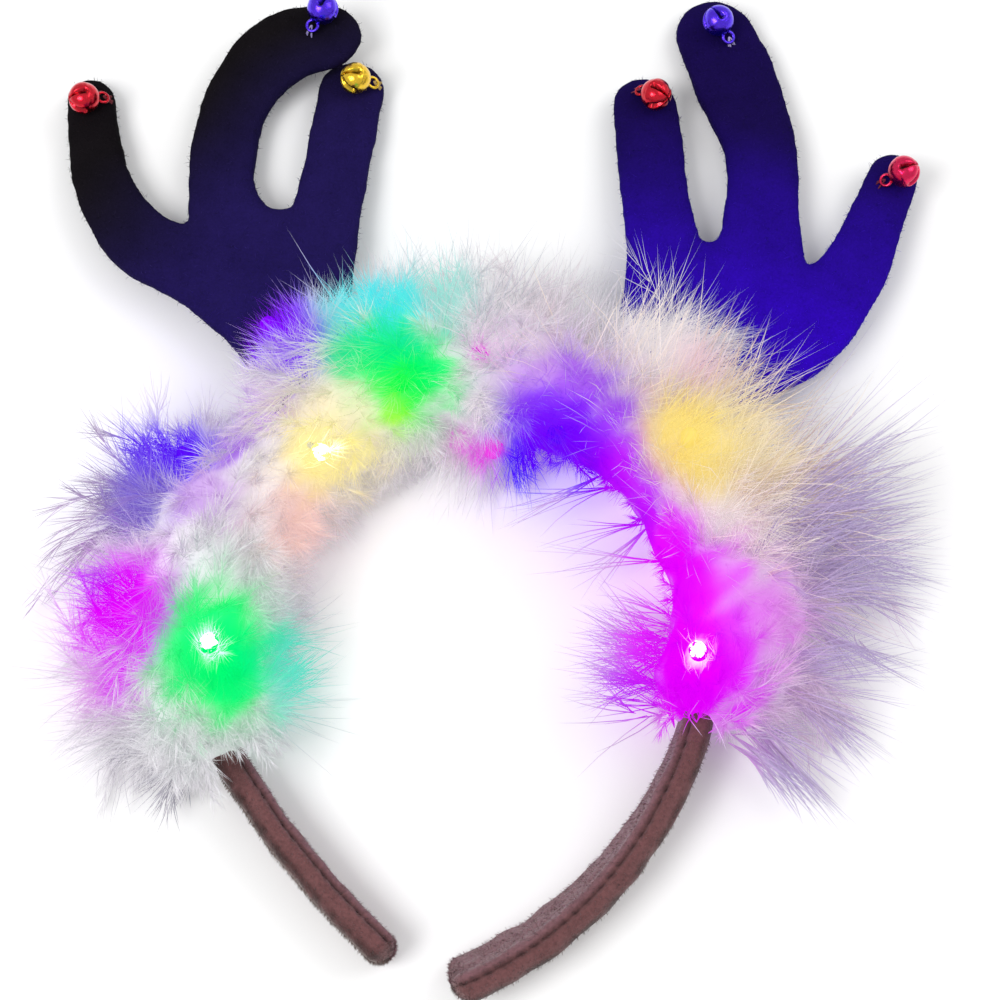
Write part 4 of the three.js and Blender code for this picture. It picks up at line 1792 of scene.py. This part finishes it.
    def grow(self, growth: Growth, seed: int) -> Barbs:
        """Barbs of one growth's feathers.

        They leave their shafts on all sides and bend back towards the tips. What would stand too
        tall, or too far out on the right, is pressed back.

        Args:
            growth: Where the feathers stand and what kind they are.
            seed: Seed of their scatter.

        Returns:
            The barbs.
        """
        rng = np.random.default_rng(seed)
        shafts = self.shafts(growth, rng)
        kind, shape = growth.kind.value, (growth.count, growth.kind.value.barbs)
        first, last = kind.stretch
        power = self.crowd + self.brush_crowd * kind.brush
        share = first + (last - first) * rng.uniform(size=shape) ** power
        start = bezier(shafts.root, shafts.bend, shafts.tip, share)
        s = share[..., None]
        lower, upper = shafts.bend - shafts.root, shafts.tip - shafts.bend
        tangent = unit(lower[:, None] * (1 - s) + upper[:, None] * s)
        beside = unit(np.cross(tangent, rng.normal(size=(*shape, 3))))
        wide, narrow = kind.splay
        splay = wide + (narrow - wide) * share + self.splay_jitter * wide * rng.normal(size=shape)
        splay = np.radians(splay)[..., None]
        lay = tangent * np.cos(splay) + beside * np.sin(splay)
        vane = (1.0 - kind.brush) * (self.vane_least + self.vane_swell * np.sin(np.pi * share))
        vane = vane + kind.brush * (self.brush_length - share)
        size = kind.barb_share * shafts.length[:, None] * vane * rng.uniform(*self.barb_lengths, shape)
        inner, outer = (half * size[..., None] for half in self.barb_halves)
        bent = start + lay * inner
        sway = kind.waver * rng.normal(size=lay.shape)
        drift = unit(lay + self.follow * (1.0 - 0.5 * kind.brush) * tangent + sway - self.sag * UP)
        ends = [place.reshape(-1, 3) for place in (start, bent, bent + drift * outer)]
        for place in ends:
            tall = np.maximum(place[:, 2] - self.ceiling, 0.0)
            place[:, 2] = np.maximum(place[:, 2] - tall * self.squeeze, self.floor_gap)
            place[:, 0] -= np.maximum(place[:, 0] - self.widest, 0.0) * self.squeeze
        tone = rng.uniform(*self.barb_tones, (share.size, 1))
        radius = (kind.radius * rng.uniform(*self.barb_radii, shape)).ravel()
        root_tone, tip_tone = (tone * linear(*colour) for colour in (growth.root, growth.tip))
        return Barbs(*ends, radius, root_tone, tip_tone, np.repeat(shafts.angle, kind.barbs))

    def build(self, workshop: Workshop) -> None:
        """Makes the core, and the feathers kind by kind in stretches along the hoop.

        Args:
            workshop: Where the pieces are made.
        """
        dense = DownFinish("dense_down", self.core_relief).make()
        core = workshop.make("feather_core", self.core(), dense, Slot.FEATHERS)
        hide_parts("feather_trim")
        down = DownFinish("feather_barbs", 0.0).make()
        for kind in Plumage:
            grown = [self.grow(growth, self.first_seed + row) for row, growth in enumerate(self.growths)
                     if growth.kind is kind]
            names = [item.name for item in fields(Barbs)]
            barbs = Barbs(*(np.concatenate([getattr(each, name) for each in grown]) for name in names))
            corners = strand_corners(kind.value.rings)
            parts = -(-len(barbs.angle) // self.most_barbs)
            for index, pick in enumerate(np.array_split(np.argsort(-barbs.angle, kind="stable"), parts), 1):
                fluff = strands(barbs.start[pick], barbs.bend[pick], barbs.end[pick], barbs.radius[pick],
                                kind.value.rings, self.turn_seed + index)
                along = fluff.colours["along"][:, None]
                root, tip = (np.repeat(colour[pick], corners, 0) for colour in (barbs.root, barbs.tip))
                self.dress(fluff, root + (tip - root) * along)
                workshop.make(f"feathers_{kind.name.lower()}_{index}", fluff, down, Slot.FEATHERS)


@dataclass(frozen=True)
class SoftLight:
    """A square soft light: its place and width in metres and its power in watts."""

    name: str
    place: tuple[float, float, float]
    width: float
    power: float


@dataclass
class Studio:
    """Pale floor, soft light and the camera at the photograph's angle."""

    workshop: Workshop
    azimuth: float = 4.0
    elevation: float = 72.0
    distance: float = 600.0
    span: float = 256.0
    target: tuple[float, float, float] = (9.0, 0.0, 10.0)
    sensor: float = 36.0
    floor_size: float = 3.0
    floor_shade: float = 0.92
    sky: float = 0.72
    clip: float = 20.0
    lights: tuple[SoftLight, ...] = (
        SoftLight("key", (-0.5, -0.35, 0.9), 0.5, 6.0), SoftLight("fill", (0.7, 0.3, 0.8), 0.7, 3.0))

    def camera(self) -> None:
        """Places the camera so that the span across the picture at the target is right."""
        turn, lift = np.radians((self.azimuth, self.elevation))
        back = np.array((np.sin(turn) * np.cos(lift), -np.cos(turn) * np.cos(lift), np.sin(lift)))
        data = bpy.data.cameras.new("camera")
        data.sensor_width = self.sensor
        data.lens = self.sensor * self.distance / self.span
        data.clip_end = self.clip
        camera = bpy.data.objects.new("camera", data)
        camera.location = Vector((np.array(self.target) + back * self.distance) * MM + self.workshop.shift)
        camera.rotation_euler = Vector(-back).to_track_quat("-Z", "Y").to_euler()
        bpy.context.scene.collection.objects.link(camera)
        bpy.context.scene.camera = camera

    def floor(self) -> None:
        """Lays the paper the headband rests on."""
        half = self.floor_size / 2.0
        mesh = bpy.data.meshes.new("floor")
        corners = [(-half, -half, 0.0), (half, -half, 0.0), (half, half, 0.0), (-half, half, 0.0)]
        mesh.from_pydata(corners, [], [(0, 1, 2, 3)])
        mesh.materials.append(FloorFinish("pale_paper", self.floor_shade).make())
        floor = bpy.data.objects.new("floor", mesh)
        bpy.context.scene.collection.objects.link(floor)

    def hang(self, light: SoftLight) -> None:
        """Hangs a soft light that points at the headband.

        Args:
            light: The light.
        """
        data = bpy.data.lights.new(light.name, "AREA")
        data.size = light.width
        data.energy = light.power
        lamp = bpy.data.objects.new(light.name, data)
        lamp.location = Vector(light.place)
        lamp.rotation_euler = (-Vector(light.place)).to_track_quat("-Z", "Y").to_euler()
        bpy.context.scene.collection.objects.link(lamp)

    def build(self) -> None:
        """Sets the stage."""
        scene = bpy.context.scene
        scene.view_settings.view_transform = "Standard"
        world = bpy.data.worlds.new("studio")
        world.use_nodes = True
        background = world.node_tree.nodes["Background"].inputs
        background["Color"].default_value = (1.0, 1.0, 1.0, 1.0)
        background["Strength"].default_value = self.sky
        scene.world = world
        self.floor()
        for light in self.lights:
            self.hang(light)
        self.camera()


LEFT_ANTLER = FeltAntler(
    name="antler_left",
    floor_y=126.0,
    tines=(
        (Station(-38, 16.5, 20), Station(-50, 40, 26), Station(-70, 56.5, 23), Station(-90.4, 65.2, 19.5),
         Station(-102.4, 79.8, 16.3), Station(-108, 96, 14.5), Station(-111.5, 114.5, 13)),
        (Station(-38, 16.5, 20), Station(-49, 40, 28), Station(-63, 62, 30), Station(-71, 80, 19.5),
         Station(-72.6, 96, 18.5), Station(-69, 113.2, 19.2, 2.5), Station(-58.2, 125.8, 22.5, 6.5),
         Station(-38, 131, 17.5, 8.5)),
        (Station(-38, 16.5, 20), Station(-46, 44, 26), Station(-43.6, 72, 20), Station(-41.6, 93, 18.3),
         Station(-40.4, 110, 18.4), Station(-39, 125.5, 19)),
    ),
    web=(Station(-66, 68, 19), Station(-46, 69, 20)),
    tip_colour=(17, 14, 17),
    root_colour=(29, 20, 73),
    fade=(128.0, 195.0),
    slant=1.0,
)
RIGHT_ANTLER = FeltAntler(
    name="antler_right",
    floor_y=152.0,
    tines=(
        (Station(38, 16.5, 20), Station(62, 38, 26), Station(83, 51, 25), Station(97, 69, 19),
         Station(104, 87, 15.5), Station(110, 106, 13.5)),
        (Station(38, 16.5, 20), Station(56, 40, 30), Station(71, 64, 27), Station(73.2, 86, 21),
         Station(71.9, 106, 20.3), Station(64.6, 127, 24), Station(54, 150.5, 20.5)),
        (Station(38, 16.5, 20), Station(48, 44, 26), Station(47.5, 70, 20.5), Station(44.3, 90, 18.8),
         Station(42, 106, 18.8), Station(38.8, 125, 18)),
    ),
    web=(Station(50, 66, 20), Station(74, 66, 20)),
    tip_colour=(21, 9, 66),
    root_colour=(45, 4, 176),
    fade=(34.0, 117.0),
)
BELLS = (
    JingleBell("left_outer", -110.8, 105.0, 0.0, 20.0, 25.0, Slot.BELL_RED, (120, 30, 40)),
    JingleBell("left_main", -48.5, 133.5, 7.8, -120.0, 20.0, Slot.BELL_VIOLET, (150, 140, 190)),
    JingleBell("left_inner", -38.4, 116.6, 0.0, 5.0, 30.0, Slot.BELL_GOLD, (190, 160, 90)),
    JingleBell("right_inner", 43.0, 116.5, 0.0, 150.0, 30.0, Slot.BELL_RED, (120, 30, 60)),
    JingleBell("right_main", 59.0, 141.0, 0.0, -50.0, 25.0, Slot.BELL_VIOLET, (170, 160, 210)),
    JingleBell("right_outer", 109.8, 97.5, 0.0, -160.0, 30.0, Slot.BELL_CRIMSON, (110, 20, 50)),
)
BELL_COLOURS = {
    Slot.BELL_RED: (214, 20, 44),
    Slot.BELL_CRIMSON: (226, 24, 84),
    Slot.BELL_VIOLET: (84, 44, 236),
    Slot.BELL_GOLD: (244, 200, 50),
}
GREEN = (0, 250, 126)
LIME = (0, 255, 84)
CHARTREUSE = (190, 255, 40)
SEA_GREEN = (0, 240, 158)
TURQUOISE = (60, 228, 204)
CYAN = (78, 238, 243)
MINT = (144, 238, 224)
MAGENTA = (230, 0, 253)
PURPLE = (192, 4, 252)
VIOLET = (136, 0, 253)
INDIGO = (96, 8, 250)
BLUE = (63, 0, 255)
SKY = (96, 116, 250)
SLATE_BLUE = (124, 100, 214)
ORCHID = (170, 80, 240)
LILAC = (205, 145, 240)
ROSE = (230, 128, 239)
PINK = (238, 70, 232)
PEACH = (255, 204, 196)
CANDLE = (255, 242, 150)
YELLOW = (250, 226, 120)
STRAW = (248, 232, 180)
PALE_PINK = (246, 196, 218)
PEARL = (248, 240, 240)
LAMPS = (
    Lamp(Slot.LAMP_GREEN, Glow(192.5, 59, 35, GREEN, 10.5, 3.2), bare=True),
    Lamp(Slot.LAMP_MAGENTA, Glow(182, 82, 21, MAGENTA, 9.0, 5.0)),
    Lamp(Slot.LAMP_BLUE, Glow(151, 81, 20, INDIGO, 5.0, 3.6)),
    Lamp(Slot.LAMP_WARM_WHITE, Glow(133.5, 51, 35, CANDLE, 7.0, 1.6), bare=True),
    Lamp(Slot.LAMP_VIOLET, Glow(125.5, 91, 24, VIOLET, 8.0, 7.0)),
    Lamp(Slot.LAMP_GREEN, Glow(107, 59, 36, LIME, 6.5, 3.0)),
    Lamp(Slot.LAMP_PINK, Glow(88.5, 66, 34, PINK, 2.0, 1.6)),
    Lamp(Slot.LAMP_MAGENTA, Glow(82, 47, 19, PINK, 2.6, 1.4)),
    Lamp(Slot.LAMP_BLUE, Glow(66, 54, 24, INDIGO, 7.5, 2.4)),
    Lamp(Slot.LAMP_YELLOW, Glow(41, 73, 34, YELLOW, 9.5, 1.5)),
    Lamp(Slot.LAMP_MAGENTA, Glow(-5.5, 60, 32, MAGENTA, 11.5, 3.4), bare=True),
)
SPILLS = (
    Glow(201, 55, 34, GREEN, 6.5, 2.4),
    Glow(197, 48, 32, SEA_GREEN, 6.5, 1.8),
    Glow(197, 39, 18, TURQUOISE, 8.0, 1.2),
    Glow(205, 42, 16, MINT, 8.0, 0.7),
    Glow(185, 77, 25, MAGENTA, 7.0, 4.6),
    Glow(178.5, 89, 22, PURPLE, 5.0, 2.6),
    Glow(194, 83, 20, MAGENTA, 5.0, 1.2),
    Glow(194, 92, 12, ROSE, 6.0, 0.4),
    Glow(154, 88, 20, INDIGO, 7.0, 1.8),
    Glow(161, 85, 18, SLATE_BLUE, 9.0, 0.8),
    Glow(146, 71, 20, ORCHID, 5.0, 0.8),
    Glow(135, 72, 20, LILAC, 6.0, 0.8),
    Glow(158, 69, 30, LILAC, 7.0, 0.6),
    Glow(149, 43, 32, PEACH, 10.0, 0.8),
    Glow(124, 55, 32, STRAW, 12.0, 0.5),
    Glow(123, 81, 24, VIOLET, 6.5, 3.0),
    Glow(122, 97, 24, SKY, 6.0, 1.2),
    Glow(124, 45, 32, CANDLE, 6.0, 0.9),
    Glow(100, 61, 35, GREEN, 5.0, 2.6),
    Glow(111, 67, 34, GREEN, 5.5, 2.6),
    Glow(115.5, 71, 32, SEA_GREEN, 5.5, 2.4),
    Glow(109.7, 53, 34, CHARTREUSE, 3.2, 2.0),
    Glow(107, 69, 34, SEA_GREEN, 7.0, 2.6),
    Glow(106, 80, 32, CYAN, 7.5, 2.2),
    Glow(111, 86, 28, CYAN, 6.5, 2.2),
    Glow(116, 84, 26, MINT, 6.0, 0.9),
    Glow(96, 84, 32, MINT, 7.0, 0.9),
    Glow(93, 48, 19, PINK, 2.2, 1.0),
    Glow(86, 45, 17, PINK, 2.6, 1.4),
    Glow(79, 40, 15, PURPLE, 3.0, 1.2),
    Glow(74, 62, 30, LILAC, 7.0, 0.7),
    Glow(66, 66, 30, ORCHID, 7.0, 1.0),
    Glow(71, 45, 18, BLUE, 5.5, 2.6),
    Glow(69, 56, 22, VIOLET, 6.5, 5.0),
    Glow(58, 58, 20, VIOLET, 7.5, 3.2),
    Glow(54, 52, 14, BLUE, 3.5, 2.6),
    Glow(56, 63, 30, ORCHID, 5.0, 1.8),
    Glow(48, 56, 20, PURPLE, 7.0, 3.2),
    Glow(36, 55, 18, PURPLE, 6.5, 3.0),
    Glow(23.5, 56, 20, MAGENTA, 7.0, 3.0),
    Glow(12, 58, 24, MAGENTA, 8.0, 3.0),
    Glow(-3, 48, 24, MAGENTA, 7.0, 2.4),
    Glow(-15, 60, 26, MAGENTA, 7.5, 2.6),
    Glow(-16, 46, 14, PURPLE, 7.0, 1.6),
    Glow(-4, 37, 12, LILAC, 8.0, 0.9),
    Glow(4, 74, 28, ROSE, 9.0, 0.8),
    Glow(31, 70, 33, YELLOW, 5.0, 0.7),
    Glow(36, 88, 30, STRAW, 11.0, 0.5),
    Glow(51, 91, 30, PALE_PINK, 7.0, 0.4),
    Glow(58, 90, 31, PEARL, 9.0, 0.5),
    Glow(25, 70, 33, PEARL, 6.0, 0.5),
)
REACHES = (
    Reach(215, 12, 18, 14), Reach(205, 31, 31, 23), Reach(195, 38, 35, 26), Reach(185, 38, 36, 26),
    Reach(172, 35, 36, 25), Reach(160, 46, 33, 25), Reach(150, 27, 29, 25), Reach(140, 13, 28, 24),
    Reach(131, 19, 32, 24), Reach(122, 33, 37, 24), Reach(109, 43, 40, 24), Reach(98, 41, 40, 23),
    Reach(85, 46, 38, 22), Reach(70, 42, 36, 14), Reach(57, 53, 36, 11), Reach(44, 54, 37, 12),
    Reach(25, 60, 37, 12), Reach(16, 65, 36, 12), Reach(6, 52, 36, 14), Reach(-8, 47, 32, 18),
    Reach(-22, 28, 23, 14),
)
WHITE = (233, 230, 235)
BLUSH = (240, 226, 233)
SILVER = (206, 205, 212)
SMOKE = (140, 132, 152)
MAUVE = (228, 210, 226)
CREAM = (240, 226, 208)
IVORY = (242, 233, 230)
# Tan tips that also stand in for painted shade in the gaps between pale strands.
SHADOW_TAN = (190, 160, 140)
LAVENDER = (206, 184, 216)
LILAC_GREY = (180, 168, 208)
GROWTHS = (
    Growth((213, 163), (-12, 190), 250, (0.66, 0.95), Plumage.DOWN, WHITE, WHITE),
    Growth((163, 112), (-12, 190), 170, (0.66, 0.95), Plumage.DOWN, WHITE, WHITE),
    Growth((112, 78), (-12, 195), 135, (0.6, 0.92), Plumage.DOWN, WHITE, BLUSH),
    Growth((80, 38), (-8, 174), 84, (0.45, 0.66), Plumage.DOWN, WHITE, BLUSH),
    Growth((40, 14), (-8, 168), 46, (0.44, 0.68), Plumage.DOWN, WHITE, MAUVE),
    Growth((14, -17), (0, 190), 38, (0.46, 0.64), Plumage.DOWN, MAUVE, LAVENDER),
    Growth((16, -14), (-6, 62), 36, (0.58, 0.72), Plumage.DOWN, MAUVE, LAVENDER),
    Growth((2, -18), (40, 150), 34, (0.62, 0.84), Plumage.DOWN, MAUVE, MAUVE),
    Growth((38, 16), (30, 100), 40, (0.6, 0.8), Plumage.DOWN, IVORY, IVORY),
    Growth((212, 96), (184, 212), 56, (0.75, 0.95), Plumage.DOWN, WHITE, WHITE),
    Growth((214, 203), (5, 175), 60, (0.7, 0.95), Plumage.DOWN, WHITE, WHITE, -0.15),
    Growth((156, 146), (-10, 30), 20, (0.7, 0.95), Plumage.DOWN, WHITE, LAVENDER),
    Growth((137, 127), (5, 60), 30, (0.95, 1.25), Plumage.DOWN, WHITE, MAUVE),
    Growth((136, 127), (35, 95), 16, (0.78, 0.98), Plumage.DOWN, WHITE, BLUSH),
    Growth((129, 120), (10, 70), 34, (0.84, 1.04), Plumage.DOWN, WHITE, WHITE),
    Growth((112, 103), (70, 160), 16, (0.85, 1.0), Plumage.DOWN, WHITE, WHITE),
    Growth((87, 62), (110, 185), 26, (0.85, 1.1), Plumage.DOWN, WHITE, BLUSH),
    Growth((61, 52), (4, 34), 20, (0.7, 0.84), Plumage.DOWN, WHITE, WHITE),
    Growth((60, 54), (4, 22), 14, (0.78, 0.9), Plumage.DOWN, WHITE, WHITE),
    Growth((52, 44), (4, 30), 14, (0.58, 0.7), Plumage.DOWN, WHITE, BLUSH),
    Growth((69, 63), (6, 34), 12, (0.7, 0.84), Plumage.DOWN, WHITE, WHITE),
    Growth((118, 84), (15, 120), 36, (0.7, 0.92), Plumage.STRAND, WHITE, SILVER),
    Growth((80, 40), (5, 130), 80, (0.6, 0.88), Plumage.STRAND, BLUSH, SILVER),
    Growth((48, 14), (0, 110), 44, (0.62, 0.88), Plumage.STRAND, CREAM, MAUVE),
    Growth((50, 22), (5, 60), 24, (0.62, 0.84), Plumage.STRAND, CREAM, SHADOW_TAN),
    Growth((26, 10), (-6, 45), 16, (0.66, 0.92), Plumage.STRAND, LAVENDER, LILAC_GREY),
    Growth((211, 196), (-8, 25), 8, (0.75, 0.9), Plumage.STRAND, WHITE, SILVER),
    Growth((213, 204), (-8, 10), 10, (0.72, 0.88), Plumage.STRAND, SILVER, SMOKE, -0.2),
    Growth((194, 178), (-5, 30), 6, (0.8, 1.0), Plumage.STRAND, WHITE, SILVER),
    Growth((206, 188), (158, 188), 12, (0.95, 1.3), Plumage.STRAND, WHITE, SILVER),
    Growth((94, 74), (165, 212), 14, (0.8, 1.2), Plumage.STRAND, WHITE, WHITE),
    Growth((6, -16), (150, 188), 22, (1.2, 1.9), Plumage.STRAND, LAVENDER, LAVENDER),
    Growth((24, 9), (-6, 34), 21, (0.72, 1.0), Plumage.LOCK, LAVENDER, LILAC_GREY),
    Growth((12, -2), (-6, 30), 4, (0.6, 0.8), Plumage.LOCK, LAVENDER, LILAC_GREY),
    Growth((-4, -19), (-8, 22), 11, (0.7, 0.96), Plumage.LOCK, LAVENDER, LILAC_GREY, 0.3),
    Growth((25, 9), (-8, 60), 15, (0.6, 0.84), Plumage.WISP, LAVENDER, LILAC_GREY),
    Growth((163, 153), (-4, 46), 26, (0.8, 1.05), Plumage.WISP, LAVENDER, SMOKE, -0.6),
    Growth((66, 20), (8, 110), 92, (0.64, 0.88), Plumage.HAIR, BLUSH, CREAM),
    Growth((50, 16), (172, 190), 5, (1.9, 2.9), Plumage.HAIR, MAUVE, LAVENDER),
    Growth((120, 84), (30, 80), 10, (0.85, 1.0), Plumage.HAIR, SILVER, SILVER),
    Growth((-12, -20), (30, 130), 9, (0.8, 1.1), Plumage.HAIR, MAUVE, LAVENDER),
)


def main() -> None:
    """Builds the headband's pieces and the stage round them."""
    logging.basicConfig(level=logging.INFO, format="%(message)s")
    hoop = Hoop()
    low, high = (np.array(corner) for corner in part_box("lamp_01"))
    workshop = Workshop((low + high) / 2.0 - LAMPS[0].glow.place(hoop) * MM)
    lamps = LampString(hoop, LAMPS, SPILLS)
    PlushBand(hoop).build(workshop)
    felt = DARK_FELT.make()
    for antler in (LEFT_ANTLER, RIGHT_ANTLER):
        antler.build(workshop, felt)
    lacquers = {slot: BellFinish(slot.value, colour).make() for slot, colour in BELL_COLOURS.items()}
    for bell in BELLS:
        bell.build(workshop, LEFT_ANTLER if bell.x < 0.0 else RIGHT_ANTLER, lacquers[bell.slot])
    lamps.build(workshop)
    FeatherTrim(hoop, lamps, REACHES, GROWTHS).build(workshop)
    Studio(workshop).build()


if __name__ == "__main__":
    main()
